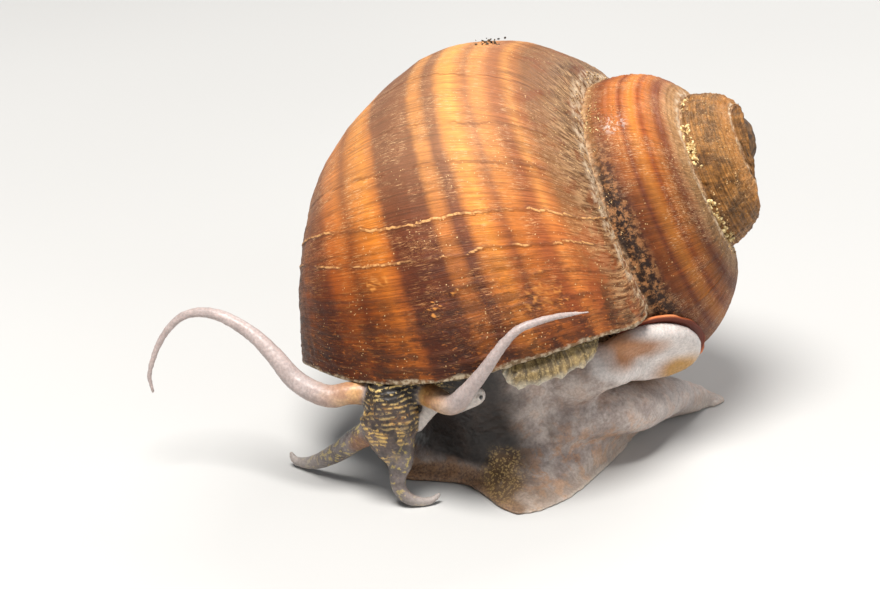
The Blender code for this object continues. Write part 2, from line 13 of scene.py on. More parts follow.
import bpy
import numpy as np
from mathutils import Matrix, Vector


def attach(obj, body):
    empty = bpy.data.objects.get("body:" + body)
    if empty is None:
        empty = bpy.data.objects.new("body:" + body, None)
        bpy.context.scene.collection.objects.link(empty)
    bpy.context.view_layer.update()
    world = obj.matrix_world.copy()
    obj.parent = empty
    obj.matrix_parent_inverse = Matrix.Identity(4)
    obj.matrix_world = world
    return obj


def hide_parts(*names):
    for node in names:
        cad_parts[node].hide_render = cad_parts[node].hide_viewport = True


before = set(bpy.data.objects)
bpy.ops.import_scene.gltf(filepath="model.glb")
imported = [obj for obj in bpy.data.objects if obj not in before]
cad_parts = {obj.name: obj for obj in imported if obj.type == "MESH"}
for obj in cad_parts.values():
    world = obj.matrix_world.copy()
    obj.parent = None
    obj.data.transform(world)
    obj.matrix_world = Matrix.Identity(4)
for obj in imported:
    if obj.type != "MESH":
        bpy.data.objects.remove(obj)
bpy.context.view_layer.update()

MM = 0.001
FAR = 1e9
PLAN_CENTRE = np.array((1.45, 3.21, 0.0))

# Shell: axis, spiral and section, as in the solids.
APEX = np.array((29.1, 5.6, 27.35))
AXIS_RISE = 31.7
AXIS_HEADING = -4.45
WHORL_GROWTH = 1.876
SECTION_RADIUS = 10.03
SECTION_DROP = 24.82
SECTION_SIZE = 10.0  # a round half-width, to turn shares of the section into millimetres
# Half-sizes of the section: away from the axis, towards it, towards the apex and the base.
HALF_OUT = 9.46
HALF_IN = 9.19
HALF_UP = 11.39
HALF_DOWN = 14.16
SECTION_LEAN = -6.14
SHOULDER_POWER = 1.71
BELLY_POWER = 2.08
# The lip's edge: psi, and its turning angle there.
LIP_EDGE = ((-150, 66.0), (-105, 63.5), (-60, 69.6), (-33, 78.8), (-4, 86.9), (27, 92.2),
            (57, 99.0), (90, 111.0), (125, 108.0), (165, 90.0))
LIP_MIDDLE = 87.0  # the lip's turning angle at its outermost place
# A place on the worn end of the spire, and the way that it faces.
WEAR_POINT = np.array((25.9, 4.2, 23.9))
WEAR_NORMAL = np.array((0.978, 0.079, 0.195))
WEAR_NORMAL /= np.linalg.norm(WEAR_NORMAL)


# ---- numbers

LATTICE = 64
STRIDES = (17, 31, 47)  # how far each seed moves the lattice
OCTAVE = 2.03  # how much finer each layer of noise is than the one before
TABLE = np.random.default_rng(20).uniform(0.0, 1.0, LATTICE ** 3).astype(np.float32)


def scatter(cell, seed):
    """A repeatable number from 0 to 1 for each whole-number place."""
    x, y, z = [(cell[..., k] + STRIDES[k] * seed) % LATTICE for k in range(3)]
    return TABLE[(x * LATTICE + y) * LATTICE + z]


def noise(points, seed=0):
    """Smooth noise from -1 to 1."""
    points = np.asarray(points, np.float32)
    whole = np.floor(points)
    f = points - whole
    u = f * f * f * (f * (f * 6 - 15) + 10)
    low = whole.astype(np.int32) + np.array(STRIDES, np.int32) * seed
    x0, y0, z0 = [low[..., k] % LATTICE for k in range(3)]
    x1, y1, z1 = (x0 + 1) % LATTICE, (y0 + 1) % LATTICE, (z0 + 1) % LATTICE
    ends = []
    for x in (x0, x1):
        sides = []
        for y in (y0, y1):
            row = (x * LATTICE + y) * LATTICE
            a, b = TABLE[row + z0], TABLE[row + z1]
            sides.append(a + (b - a) * u[..., 2])
        ends.append(sides[0] + (sides[1] - sides[0]) * u[..., 1])
    return 2 * (ends[0] + (ends[1] - ends[0]) * u[..., 0]) - 1


def noise_at(x, y, z, seed):
    return noise(np.stack(np.broadcast_arrays(x, y, z), -1), seed)


def layered(points, octaves, seed):
    """Noise with finer, weaker noise on top."""
    total, weight, size, norm = 0.0, 1.0, 1.0, 0.0
    for k in range(octaves):
        total = total + weight * noise(points * size, seed + k)
        norm += weight
        weight *= 0.5
        size *= OCTAVE
    return total / norm


def cells(points, seed):
    """Distance to the nearest of one random point in each unit cell."""
    points = np.asarray(points, float)
    cell = np.floor(points).astype(np.int64)
    nearest = np.full(points.shape[:-1], FAR)
    for step in np.ndindex(3, 3, 3):
        c = cell + np.array(step) - 1
        spot = np.stack([c[..., k] + scatter(c, seed + 11 * k + 1) for k in range(3)], -1)
        nearest = np.minimum(nearest, np.linalg.norm(points - spot, axis=-1))
    return nearest


def ease(value, low, high):
    """0 at low, 1 at high and smooth between; low may be the larger."""
    t = np.clip((value - low) / (high - low), 0.0, 1.0)
    return t * t * (3 - 2 * t)


def unit(vector):
    return vector / np.linalg.norm(vector)


def circle(count):
    """Angles in radians, evenly round a circle."""
    return 2 * np.pi * np.arange(count) / count


# ---- meshes

def to_world(points):
    return (np.asarray(points, float) - PLAN_CENTRE) * MM


def put_points(mesh, points):
    mesh.vertices.foreach_set("co", to_world(points).astype(np.float32).ravel())


def add_object(name, data):
    obj = bpy.data.objects.new(name, data)
    bpy.context.scene.collection.objects.link(obj)
    return obj


def mesh_object(name, points, faces, material):
    """A smooth mesh whose faces may differ in their number of corners."""
    mesh = bpy.data.meshes.new(name)
    mesh.from_pydata(to_world(points).tolist(), [], [tuple(int(i) for i in f) for f in faces])
    mesh.validate()
    if material:
        mesh.materials.append(material)
    mesh.polygons.foreach_set("use_smooth", np.ones(len(mesh.polygons), bool))
    return add_object(name, mesh)


def grid_mesh(name, points, faces, material):
    """A mesh from long arrays of points and like faces, built without a loop over them."""
    mesh = bpy.data.meshes.new(name)
    mesh.vertices.add(len(points))
    put_points(mesh, points)
    mesh.loops.add(faces.size)
    mesh.loops.foreach_set("vertex_index", faces.astype(np.int32).ravel())
    mesh.polygons.add(len(faces))
    starts = np.arange(0, faces.size, faces.shape[1], dtype=np.int32)
    mesh.polygons.foreach_set("loop_start", starts)
    mesh.polygons.foreach_set("use_smooth", np.ones(len(faces), bool))
    mesh.update(calc_edges=True)
    mesh.materials.append(material)
    return add_object(name, mesh)


def paint(obj, **fields):
    """Stores numbers for each point under their names, for the material to read."""
    for name, values in fields.items():
        attribute = obj.data.attributes.new(name, "FLOAT", "POINT")
        attribute.data.foreach_set("value", np.asarray(values, np.float32))


def read(items, name, kind, width):
    """One property of every item of a mesh, a row for each."""
    flat = np.zeros(len(items) * width, kind)
    items.foreach_get(name, flat)
    return flat.reshape(-1, width)


def points_of(obj):
    """A mesh's points in millimetres in the animal's frame."""
    return read(obj.data.vertices, "co", np.float32, 3).astype(float) / MM + PLAN_CENTRE


def edges_of(obj):
    return read(obj.data.edges, "vertices", np.int32, 2)


def normals_of(obj):
    return read(obj.data.vertex_normals, "vector", np.float32, 3).astype(float)


def set_points(obj, points):
    put_points(obj.data, points)
    obj.data.update()


def quads_between(rows, columns):
    """The faces between rows of points that close round on themselves."""
    i, j = np.meshgrid(np.arange(rows - 1), np.arange(columns), indexing="ij")
    k = (j + 1) % columns
    return np.stack([i * columns + j, i * columns + k, (i + 1) * columns + k,
                     (i + 1) * columns + j], -1).reshape(-1, 4)


# ---- the shell's spiral

def shell_directions():
    rise = math.radians(AXIS_RISE)
    heading = math.radians(AXIS_HEADING)
    axis = np.array((math.cos(rise) * math.cos(heading), math.cos(rise) * math.sin(heading),
                     math.sin(rise)))
    top = unit(np.array((0.0, 0.0, 1.0)) - axis * axis[2])
    return axis, top, np.cross(axis, top)


AXIS, TOP, NEAR = shell_directions()


def lip_turn(psi):
    """Turning angle of the lip's edge at each angle round the section."""
    psi = (np.asarray(psi, float) + 180.0) % 360.0 - 180.0
    knots = np.array([(p - 360.0, t) for p, t in LIP_EDGE[-2:]] + list(LIP_EDGE)
                     + [(p + 360.0, t) for p, t in LIP_EDGE[:2]])
    p, t = knots[:, 0], knots[:, 1]
    slope = np.zeros(len(p))
    slope[1:-1] = (t[2:] - t[:-2]) / (p[2:] - p[:-2])
    k = np.clip(np.searchsorted(p, psi, side="right") - 1, 1, len(p) - 3)
    span = p[k + 1] - p[k]
    f = (psi - p[k]) / span
    return ((2 * f ** 3 - 3 * f ** 2 + 1) * t[k] + (f ** 3 - 2 * f ** 2 + f) * slope[k] * span
            + (3 * f ** 2 - 2 * f ** 3) * t[k + 1] + (f ** 3 - f ** 2) * slope[k + 1] * span)


def turn_at(grow, psi):
    """Turning angle at a growth angle: growth lines run as the lip's edge does."""
    return grow + lip_turn(psi) - LIP_MIDDLE


def growth_at(turn):
    return WHORL_GROWTH ** (turn / 360.0)


def section_at(x, y):
    """Half-width, half-height and power of the section's quarter that x and y point to."""
    return (np.where(x > 0, HALF_OUT, HALF_IN), np.where(y > 0, HALF_UP, HALF_DOWN),
            np.where((x > 0) & (y > 0), SHOULDER_POWER, BELLY_POWER))


def spiral(turn, psi, inset=0.0):
    """Points of the shell's outside, or of a surface that many millimetres inside it."""
    growth = growth_at(turn)
    a = np.radians(psi)
    c, s = np.cos(a), np.sin(a)
    wide, high, power = section_at(c, s)
    reach = (np.abs(c) ** power + np.abs(s) ** power) ** (-1 / power)
    thinner = inset / growth
    x = reach * c * (wide - thinner)
    y = reach * s * (high - thinner)
    lean = math.radians(SECTION_LEAN)
    radius = SECTION_RADIUS + x * math.cos(lean) - y * math.sin(lean)
    height = -SECTION_DROP + x * math.sin(lean) + y * math.cos(lean)
    t = np.radians(turn)
    outward = np.cos(t)[..., None] * TOP + np.sin(t)[..., None] * NEAR
    return APEX + (outward * radius[..., None] + height[..., None] * AXIS) * growth[..., None]


def place_on_shell(grow, psi):
    """One point of the shell's outside."""
    psi = np.array([psi], float)
    return spiral(turn_at(grow, psi), psi)[0]


def depth_in_whorl(points, whorl):
    """Where points lie in a whorl's section: its turn, the angle round it, and 1 at its wall."""
    rel = points - APEX
    along = rel @ AXIS
    u, v = rel @ TOP, rel @ NEAR
    turn = np.degrees(np.arctan2(v, u)) + 360.0 * whorl
    growth = growth_at(turn)
    x0 = np.hypot(u, v) / growth - SECTION_RADIUS
    y0 = along / growth + SECTION_DROP
    lean = math.radians(-SECTION_LEAN)
    x = x0 * math.cos(lean) - y0 * math.sin(lean)
    y = x0 * math.sin(lean) + y0 * math.cos(lean)
    wide, high, power = section_at(x, y)
    a, b = np.abs(x) / wide, np.abs(y) / high
    share = (a ** power + b ** power) ** (1 / power)
    psi = np.degrees(np.arctan2(np.where(y > 0, b, -b), np.where(x > 0, a, -a)))
    return turn, psi, share


def whorl_of(points, turn):
    """The whole number of turns in a turning angle, counted as depth_in_whorl does."""
    around = np.degrees(np.arctan2((points - APEX) @ NEAR, (points - APEX) @ TOP))
    return np.round((turn - around) / 360.0)


# ---- the shell's surface

# Rows of points: from, to and step of their growth angle, closest together on the last whorl.
ROWS = ((-1350.0, -640.0, 2.4), (-640.0, -350.0, 0.95), (-350.0, -75.0, 0.6),
        (-75.0, LIP_MIDDLE - 0.01, 0.34))
COLUMNS = 320
# Growth lines: height, and how far apart they are across and how long along them.
GROWTH_LINES = ((0.020, 1.2, 40.0), (0.030, 2.6, 55.0), (0.035, 6.5, 60.0), (0.08, 23.0, 70.0))
# Old lip edges that stand as ridges: growth angle and strength.
RIDGES = (
    (52.0, 1.0), (60.4, 0.9), (39.2, 0.45), (27.0, 0.3), (68.5, 0.35), (75.5, 0.45), (80.5, 0.5),
    (83.5, 0.55), (8.0, 0.35), (-22.0, 0.4), (-60.0, 0.5), (-105.0, 0.35), (-150.0, 0.5),
    (-190.0, 0.4), (-240.0, 0.4), (-300.0, 0.25), (-370.0, 0.3))
RIDGE_REACH = 5.0  # growth angle within which a ridge is looked for
RIDGE_FRONT = 0.26  # growth angle over which a ridge falls off towards the lip, and behind it
RIDGE_BACK = 0.55
# Flaked scars: growth angle, psi, radius and strength.
SCARS = (
    (64.8, -15.2, 0.8, 0.8), (64.6, -11.0, 0.7, 0.7), (69.0, 11.2, 0.7, 0.8),
    (70.5, 44.4, 1.6, 0.65), (74.5, 47.5, 1.7, 0.65), (74.5, 38.0, 1.5, 0.6),
    (-30.0, 20.0, 1.6, 0.8), (-118.0, -20.0, 1.8, 0.8), (-175.0, 35.0, 1.4, 0.7),
    (20.0, -60.0, 1.5, 0.7))
# A star-shaped scar: growth angle, psi, radius and number of rays.
STAR = (72.3, 1.2, 1.25, 7)
STAR_SPAN = 0.22  # millimetres to a degree there
RIDGE_HEIGHT = 0.13
SCAR_HEIGHT = 0.13
WALL = 0.34  # thickness of the lip's edge
INNER_WALL = 0.62  # and a little way in
APERTURE_DEPTH = 11.0  # turn for which the inside of the lip is drawn
LINING_STEP = 0.7
# How the lip's edge turns over: forward and inward.
LIP_ROUND = ((0.12, 0.06), (0.17, 0.17), (0.12, 0.28), (0.0, WALL))
HIDDEN_DEPTH = 0.55  # faces this deep inside another whorl are left out
WORN_AWAY = 0.25  # and so are those this high above the worn surface
WORN_TURN = -440.0  # the worn end reaches no further down the spiral than this


def shell_angles():
    return -180.0 + 360.0 * np.arange(COLUMNS) / COLUMNS


def ridge_field(grow, psi):
    """Height from 0 to 1 of the old lip edges, steep towards the lip, with nicked crests.

    Old lips were straighter than the present one, so their ends lie a little further back.
    """
    total = np.zeros_like(grow)
    straighter = 1.4 - 5.5 * ((np.clip(psi, -60.0, 90.0) - 25.0) / 75.0) ** 2
    for k, (place, strength) in enumerate(RIDGES):
        place = place + straighter * ease(place, 76.0, 62.0)
        near = np.abs(grow - place) < RIDGE_REACH
        line = np.stack([psi[near] / 10.0, np.full(near.sum(), 3.7 * k), psi[near] * 0], -1)
        wander = 0.8 * noise(line * 0.6, 5) + 0.30 * noise(line * 2.6, 6)
        wander += 0.30 * np.abs(noise(line * 7.0, 8)) + 0.25 * noise(line * 13.0, 10)
        torn = np.clip(0.85 + 0.9 * noise(line * 1.7, 7), 0.25 * strength, 1.0)
        away = grow[near] - place[near] - wander
        crest = np.exp(-(away / np.where(away > 0, RIDGE_FRONT, RIDGE_BACK)) ** 2)
        total[near] = np.maximum(total[near], crest * strength * torn)
    return total


def scar_field(points):
    """Height from 0 to 1 of the flaked scars, as crinkled rays."""
    total = np.zeros(len(points))
    for k, (place, angle, radius, strength) in enumerate(SCARS):
        centre = place_on_shell(place, angle)
        away = np.linalg.norm(points - centre, axis=1)
        near = away < radius * 1.6
        spots = points[near] - centre
        crinkle = 1 - np.abs(noise(spots * 1.9, 31 + k)) * 3.2
        fine = 1 - np.abs(noise(spots * 4.2, 47 + k)) * 3.0
        shape = np.clip(np.maximum(crinkle, 0.8 * fine), 0, 1)
        fade = 1 - ease(away[near] / radius, 0.35, 1.15)
        total[near] = np.maximum(total[near], shape * fade * strength)
    return total


def star_field(points, grow, psi):
    """Height from 0 to 1 of the star-shaped scar."""
    place, angle, radius, rays = STAR
    away = np.linalg.norm(points - place_on_shell(place, angle), axis=1)
    near = away < radius
    total = np.zeros(len(points))
    turned = np.arctan2((grow[near] - place) * STAR_SPAN, (psi[near] - angle) * STAR_SPAN)
    bend = 0.5 * noise(points[near] * 1.4, 25)
    ray = np.abs(np.sin((turned + bend) * rays / 2.0))
    width = 0.22 + 0.78 * (1 - ease(away[near] / radius, 0.0, 0.5))
    total[near] = (1 - ease(ray / width, 0.3, 1.0)) * (1 - ease(away[near] / radius, 0.45, 1.0))
    return total


def threads(psi):
    """Raised spiral threads on the earlier whorls."""
    return ease(np.cos(np.radians(psi) * 58.0 + np.sin(np.radians(psi) * 13.0) * 2), 0.2, 1.0)


def shell_relief(points, grow, psi):
    """How far each place of the shell stands out of its smooth form, in millimetres."""
    size = growth_at(grow)
    lines = sum(height * noise_at(grow / step, psi / blend, seed, seed)
                for seed, (height, step, blend) in enumerate(GROWTH_LINES, 1))
    striae = 0.012 * noise_at(psi / 2.2, grow / 60.0, 0.0, 9)
    dents = 0.10 * noise(points / 6.5, 12) + 0.035 * noise(points / 2.3, 13)
    ragged = ease(grow, 66.0, 84.0) * 0.055 * np.abs(noise(points * 2.4, 14))
    rough = 0.030 * noise(points * 3.1, 15) * (0.35 + ease(psi, 62.0, 95.0))
    early = ease(grow, -470.0, -590.0)
    upper = ease(grow, -200.0, -250.0)
    rough += early * (0.10 * layered(points * 1.6, 2, 16) + 0.07 * noise(points * 3.4, 18))
    rough += upper * (0.03 * noise(points * 2.7, 19) + 0.05 * threads(psi)
                      + 0.07 * ease(psi, 14.0, 2.0) * noise(points * 3.0, 23))
    return lines * (0.5 + 0.5 * size) + striae + dents * size ** 0.5 + ragged + rough


def surface_normals(points):
    """Normals of a grid of points, rows by columns, closed across the columns."""
    down = np.gradient(points, axis=0)
    ring = np.concatenate([points[:, -1:], points, points[:, :1]], axis=1)
    across = (ring[:, 2:] - ring[:, :-2]) / 2
    normal = np.cross(down, across)
    return normal / np.maximum(np.linalg.norm(normal, axis=-1, keepdims=True), 1e-9)


def shell_grid():
    """Rows by columns of the outside: points, normals, both angles, ridges and scars."""
    rows = np.concatenate([np.arange(*row) for row in ROWS] + [[LIP_MIDDLE]])
    grow, psi = np.meshgrid(rows, shell_angles(), indexing="ij")
    turn = turn_at(grow, psi)
    points = spiral(turn, psi)
    normal = surface_normals(points)
    if np.einsum("ijk,ijk->ij", normal, points - spiral(turn, psi, 1.0)).mean() < 0:
        normal = -normal
    flat = points.reshape(-1, 3)
    g, s = grow.ravel(), psi.ravel()
    ridges = ridge_field(g, s)
    scars = np.maximum(scar_field(flat), star_field(flat, g, s))
    lift = (shell_relief(flat, g, s) + RIDGE_HEIGHT * ridges * growth_at(g) ** 0.5
            + SCAR_HEIGHT * scars)
    points = points + normal * lift.reshape(grow.shape)[..., None]
    return points, normal, grow, psi, ridges, scars


def lip_rows(points, normal, psi):
    """The rows that turn the lip's edge over and line the aperture."""
    rim = points[-1]
    ahead = rim - points[-3]
    ahead /= np.linalg.norm(ahead, axis=1, keepdims=True)
    inward = -normal[-1]
    s = psi[-1]
    jag = 0.12 * np.abs(noise_at(s / 2.6, 0.0, 0.0, 21))
    jag += 0.14 * np.abs(noise_at(s / 6.1, 0.0, 0.0, 24))
    jag += 0.30 * np.clip(noise_at(s / 7.0, 0.0, 0.0, 22) - 0.25, 0, 1)
    rows = []
    for forward, inset in LIP_ROUND:
        rows.append(rim + ahead * (forward - jag * (1 if forward else 0.4))[:, None]
                    + inward * inset)
    for back in np.arange(LINING_STEP, APERTURE_DEPTH, LINING_STEP):
        wall = WALL + (INNER_WALL - WALL) * ease(back, 0.0, 4.0)
        wall += 2.2 * ease(back, 6.0, APERTURE_DEPTH)
        rows.append(spiral(lip_turn(s) - back, s, wall))
    return np.array(rows)


def hidden_inside(points, grow, psi):
    """True where the outside lies well inside the next or the last whorl."""
    whorl = whorl_of(points, turn_at(grow, psi))
    deep = np.zeros(len(points), bool)
    for step in (-1, 1, 2):
        other, angle, share = depth_in_whorl(points, whorl + step)
        exists = other < lip_turn(angle) - 1.0
        deep |= exists & ((1 - share) * SECTION_SIZE * growth_at(other) > HIDDEN_DEPTH)
    return deep


def wear_height(points):
    """Height of the worn surface above its plane: the core stands out, the rest is pitted."""
    rel = points - APEX
    away = np.hypot(rel @ TOP, rel @ NEAR)
    core = 0.75 * (1 - ease(away, 0.9, 2.2))
    pits = 0.16 * layered(points * 0.9, 3, 61) - 0.10 * ease(cells(points * 0.75, 62), 0.5, 0.1)
    return core + pits


def wear_down(points):
    """Brings whatever stands above the worn surface down to it, and says where it did."""
    above = (points - WEAR_POINT) @ WEAR_NORMAL
    over = np.maximum(above - wear_height(points), 0.0)
    return points - over[:, None] * WEAR_NORMAL, over


def worn_reach(centre, directions):
    """How far the worn surface goes in each direction before it leaves the whorls it cuts."""
    step = 0.04
    reach = np.arange(0.2, 8.0, step)
    probe = (centre + directions[:, None] * reach[None, :, None]).reshape(-1, 3)
    inside = np.zeros(len(probe), bool)
    for whorl in (-3, -2, -1):
        turn, _, share = depth_in_whorl(probe, whorl)
        inside |= (share < 1.0) & (turn < WORN_TURN)
    solid = np.cumprod(inside.reshape(len(directions), -1) | (reach < 1.0), axis=1)
    return reach[0] + step * solid.sum(axis=1)


def worn_cap(material):
    """The worn end of the spire: a disc over the plane, out to the last whorl it cuts."""
    around, steps = 240, 44
    centre = APEX - AXIS * (((APEX - WEAR_POINT) @ WEAR_NORMAL) / (AXIS @ WEAR_NORMAL))
    u = unit(TOP - WEAR_NORMAL * (TOP @ WEAR_NORMAL))
    v = np.cross(WEAR_NORMAL, u)
    angles = np.radians(np.arange(around) * 360.0 / around)
    directions = np.cos(angles)[:, None] * u + np.sin(angles)[:, None] * v
    radius = worn_reach(centre, directions)
    shares = np.linspace(0.0, 1.0, steps)[1:] ** 0.8
    rings = centre + directions[None] * (radius[None, :] * shares[:, None])[..., None]
    points = np.concatenate([rings.reshape(-1, 3), centre[None]])
    away = np.concatenate([np.repeat(shares, around), [0.0]])
    lift = wear_height(points) + 0.02 - 0.35 * ease(away, 0.93, 1.0)
    points = points + WEAR_NORMAL * lift[:, None]
    middle = np.arange(around)
    fan = np.stack([middle, (middle + 1) % around, np.full(around, len(points) - 1)], -1)
    faces = quads_between(steps - 1, around).tolist() + fan.tolist()
    return mesh_object("worn_apex", points, faces, material)


def build_shell(material):
    points, normal, grow, psi, ridges, scars = shell_grid()
    lining = lip_rows(points, normal, psi)
    rows, columns = grow.shape
    count = rows * columns
    extra = len(lining) * columns
    everything = np.concatenate([points.reshape(-1, 3), lining.reshape(-1, 3)])
    g = np.concatenate([grow.ravel(), np.full(extra, LIP_MIDDLE)])
    s = np.concatenate([psi.ravel(), np.tile(psi[-1], len(lining))])
    inner = np.concatenate([np.zeros(count), np.repeat(np.arange(1, len(lining) + 1), columns)])
    hidden = np.zeros(len(everything), bool)
    hidden[:count] = hidden_inside(everything[:count], g[:count], s[:count])
    worn, over = wear_down(everything)
    hidden |= over > WORN_AWAY
    faces = quads_between(rows + len(lining), columns)
    faces = faces[~hidden[faces].all(axis=1)]
    used = np.unique(faces)
    index = np.zeros(len(everything), np.int64)
    index[used] = np.arange(len(used))
    obj = grid_mesh("shell", worn[used], index[faces], material)
    paint(obj, grow=g[used], psi=s[used], inner=np.minimum(inner[used] / 4.0, 1.0),
          ridge=np.concatenate([ridges, np.zeros(extra)])[used],
          scar=np.concatenate([scars, np.zeros(extra)])[used],
          worn=ease(over, 0.0, 0.1)[used])
    return obj


# ---- flesh: lines and forms

# Middle lines of the flesh: x, y, z, half-width across, and half-depth where it differs.
STEM = (
    (6.6, -1.6, 0.8, 8.6, 7.0), (6.0, -2.2, 3.0, 7.8, 6.2), (4.6, -3.4, 6.5, 7.2, 5.8),
    (3.2, -4.6, 10.0, 7.6, 5.9), (2.6, -4.9, 13.5, 7.8, 6.0))
NECK = (
    (1.4, -6.2, 13.2, 3.2, 2.7), (-0.6, -8.1, 12.2, 2.9, 2.4), (-2.6, -10.0, 11.0, 2.5, 2.1),
    (-3.7, -11.3, 9.4, 2.28, 1.9), (-3.9, -11.8, 7.9, 2.2, 1.85))
HEAD = (
    (-3.9, -11.8, 8.1, 2.2, 1.85), (-4.0, -12.0, 6.8, 2.15, 1.8), (-3.9, -12.1, 5.6, 1.8, 1.55),
    (-3.7, -12.15, 4.7, 1.25, 1.1))
PALP_LEFT = (
    (-3.5, -12.1, 6.6, 1.45, 1.3), (-3.25, -12.3, 5.2, 1.3, 1.15), (-3.2, -12.4, 3.9, 1.05, 0.95),
    (-3.4, -12.5, 2.8, 0.74, 0.68), (-3.3, -12.5, 1.7, 0.62, 0.58), (-2.6, -12.6, 0.8, 0.54, 0.5),
    (-1.5, -12.5, 0.42, 0.44, 0.36), (-0.6, -12.2, 0.46, 0.34, 0.3), (-0.1, -11.9, 0.78, 0.22))
PALP_RIGHT = (
    (-4.6, -11.7, 7.0, 1.25, 1.2), (-5.5, -11.1, 6.1, 1.1), (-6.8, -9.9, 4.8, 0.95),
    (-8.3, -8.4, 3.0, 0.85, 0.8), (-10.0, -6.7, 1.35, 0.68, 0.6), (-11.3, -5.5, 0.62, 0.5, 0.46),
    (-12.1, -5.0, 0.66, 0.38, 0.34), (-12.4, -4.8, 1.15, 0.22))
# A fold of the lower snout, and the skin between neck and left feeler.
SNOUT_SIDE = (
    (-5.9, -12.3, 8.1, 0.75), (-5.4, -12.7, 6.8, 0.75), (-4.75, -12.8, 5.5, 0.62),
    (-4.3, -12.7, 4.2, 0.36))
WEB = (
    (-0.1, -12.5, 9.4, 0.75, 0.35), (-0.9, -12.3, 8.4, 0.65, 0.3), (-1.7, -12.1, 6.7, 0.3, 0.25))
FEELER_LEFT = (
    (-1.6, -11.4, 9.9, 1.05, 1.0), (-0.3, -12.9, 9.75, 0.95), (0.95, -14.2, 9.8, 0.84),
    (1.97, -15.2, 11.2, 0.71), (2.98, -16.0, 12.85, 0.6), (3.99, -16.5, 14.55, 0.51),
    (4.99, -16.7, 16.15, 0.43), (5.99, -16.5, 17.15, 0.37), (7.01, -16.2, 17.55, 0.34),
    (8.74, -15.7, 17.9, 0.29), (10.4, -15.2, 18.0, 0.21), (11.6, -14.8, 18.0, 0.13))
FEELER_RIGHT = (
    (-4.0, -11.0, 9.8, 1.05), (-5.5, -11.0, 9.45, 1.0, 0.98), (-7.3, -10.9, 9.35, 0.95, 0.94),
    (-8.8, -10.8, 9.0, 0.93, 0.92), (-10.55, -10.5, 9.5, 0.9), (-12.0, -9.9, 10.4, 0.84),
    (-13.3, -9.2, 11.8, 0.74), (-14.95, -8.3, 13.2, 0.63), (-17.0, -7.4, 14.25, 0.54),
    (-18.8, -6.8, 14.65, 0.46), (-20.65, -6.4, 14.3, 0.38), (-22.0, -6.2, 13.15, 0.33),
    (-23.0, -6.0, 11.5, 0.29), (-23.6, -6.0, 9.9, 0.26), (-23.85, -6.0, 8.6, 0.23),
    (-23.6, -6.0, 7.3, 0.17))
EYE_STALK_LEFT = (
    (1.1, -13.9, 9.4, 0.6), (2.2, -14.3, 9.9, 0.46), (2.8, -14.4, 10.4, 0.6),
    (3.0, -14.4, 10.7, 0.66))
EYE_STALK_RIGHT = (
    (-6.5, -10.5, 8.9, 0.6), (-6.85, -9.5, 8.5, 0.46), (-7.0, -9.1, 8.35, 0.6),
    (-7.15, -8.75, 8.25, 0.66))
# The thick lip along the front edge of the foot, and the back of the foot.
FRONT_LIP = (
    (-3.6, -6.6, 0.6, 0.6), (-2.3, -7.3, 0.62, 0.66, 0.62), (0.4, -7.6, 0.66, 0.7, 0.66),
    (2.6, -8.4, 0.66, 0.7, 0.66), (4.1, -10.6, 0.6, 0.62, 0.6), (5.2, -12.6, 0.52, 0.54, 0.52),
    (6.3, -13.8, 0.4, 0.42, 0.4))
FOOT_BACK = (
    (8.0, -3.6, 5.2, 3.8), (12.0, -3.1, 5.5, 3.2, 3.4), (15.4, -1.4, 4.6, 2.7, 3.1),
    (18.8, 2.8, 3.1, 2.05, 2.5), (21.8, 6.4, 1.6, 1.3, 1.7))
# The root that joins the operculum's cushion to the stem, and what fills the fold below it.
LOBE_ROOT = (
    (7.5, -4.4, 7.2, 3.6, 3.2), (10.5, -6.0, 8.8, 2.9, 2.7), (13.0, -6.8, 9.8, 2.1),
    (14.8, -6.0, 9.4, 1.5, 1.4), (16.2, -5.0, 8.9, 0.8))
SADDLE = (
    (8.6, -5.4, 4.6, 2.8, 3.6), (12.3, -4.7, 5.2, 2.4, 3.2), (15.4, -2.6, 4.5, 2.1, 3.0),
    (18.5, 2.6, 3.1, 1.8, 2.4), (20.8, 5.7, 1.9, 1.3, 1.6), (22.6, 7.6, 1.1, 0.8, 0.9))
# Edges and ridges, without widths: the sole in plan, the top of the foot, and the mantle's
# flap with its upper edge under the lip and its free lower edge.
SOLE = (
    (-2.3, -7.4), (0.4, -7.7), (2.6, -8.5), (4.1, -10.8), (5.3, -12.9), (6.6, -14.2), (8.6, -13.3),
    (10.9, -10.9), (13.3, -6.6), (15.7, -1.7), (16.8, 1.4), (18.3, 3.6), (21.2, 5.7), (24.2, 7.3),
    (25.2, 8.6), (23.9, 10.2), (20.5, 12.1), (15.0, 13.2), (9.0, 12.6), (3.6, 10.2), (-0.6, 6.4),
    (-3.4, 2.0), (-4.7, -2.2), (-4.3, -5.9))
FOOT_RIDGE = (
    (1.5, -5.5, 2.6), (5.0, -2.0, 3.8), (9.0, 1.5, 4.0), (13.0, 5.0, 3.5), (17.4, 8.6, 3.0),
    (20.4, 9.1, 2.3), (23.3, 8.8, 1.2))
FLAP_TOP = (
    (4.6, -13.2, 13.6), (6.6, -13.1, 13.9), (8.8, -12.4, 14.2), (11.0, -11.4, 14.5),
    (12.9, -10.3, 14.7))
FLAP_EDGE = (
    (4.9, -14.2, 12.4), (5.7, -14.6, 11.4), (7.6, -14.0, 11.4), (9.9, -13.0, 11.8),
    (12.0, -11.6, 12.5))
MOUTH = np.array((-6.3, -11.6, 4.5))
EYE_LEFT = np.array((3.1, -14.85, 10.75))
EYE_RIGHT = np.array((-7.35, -8.35, 8.25))
EYE_RADIUS = 0.30
SOLE_RIM = 0.42  # height of the sole's thin edge
SOLE_TIP = (6.2, -12.9, 0.4)  # the corner of the foot nearest the camera
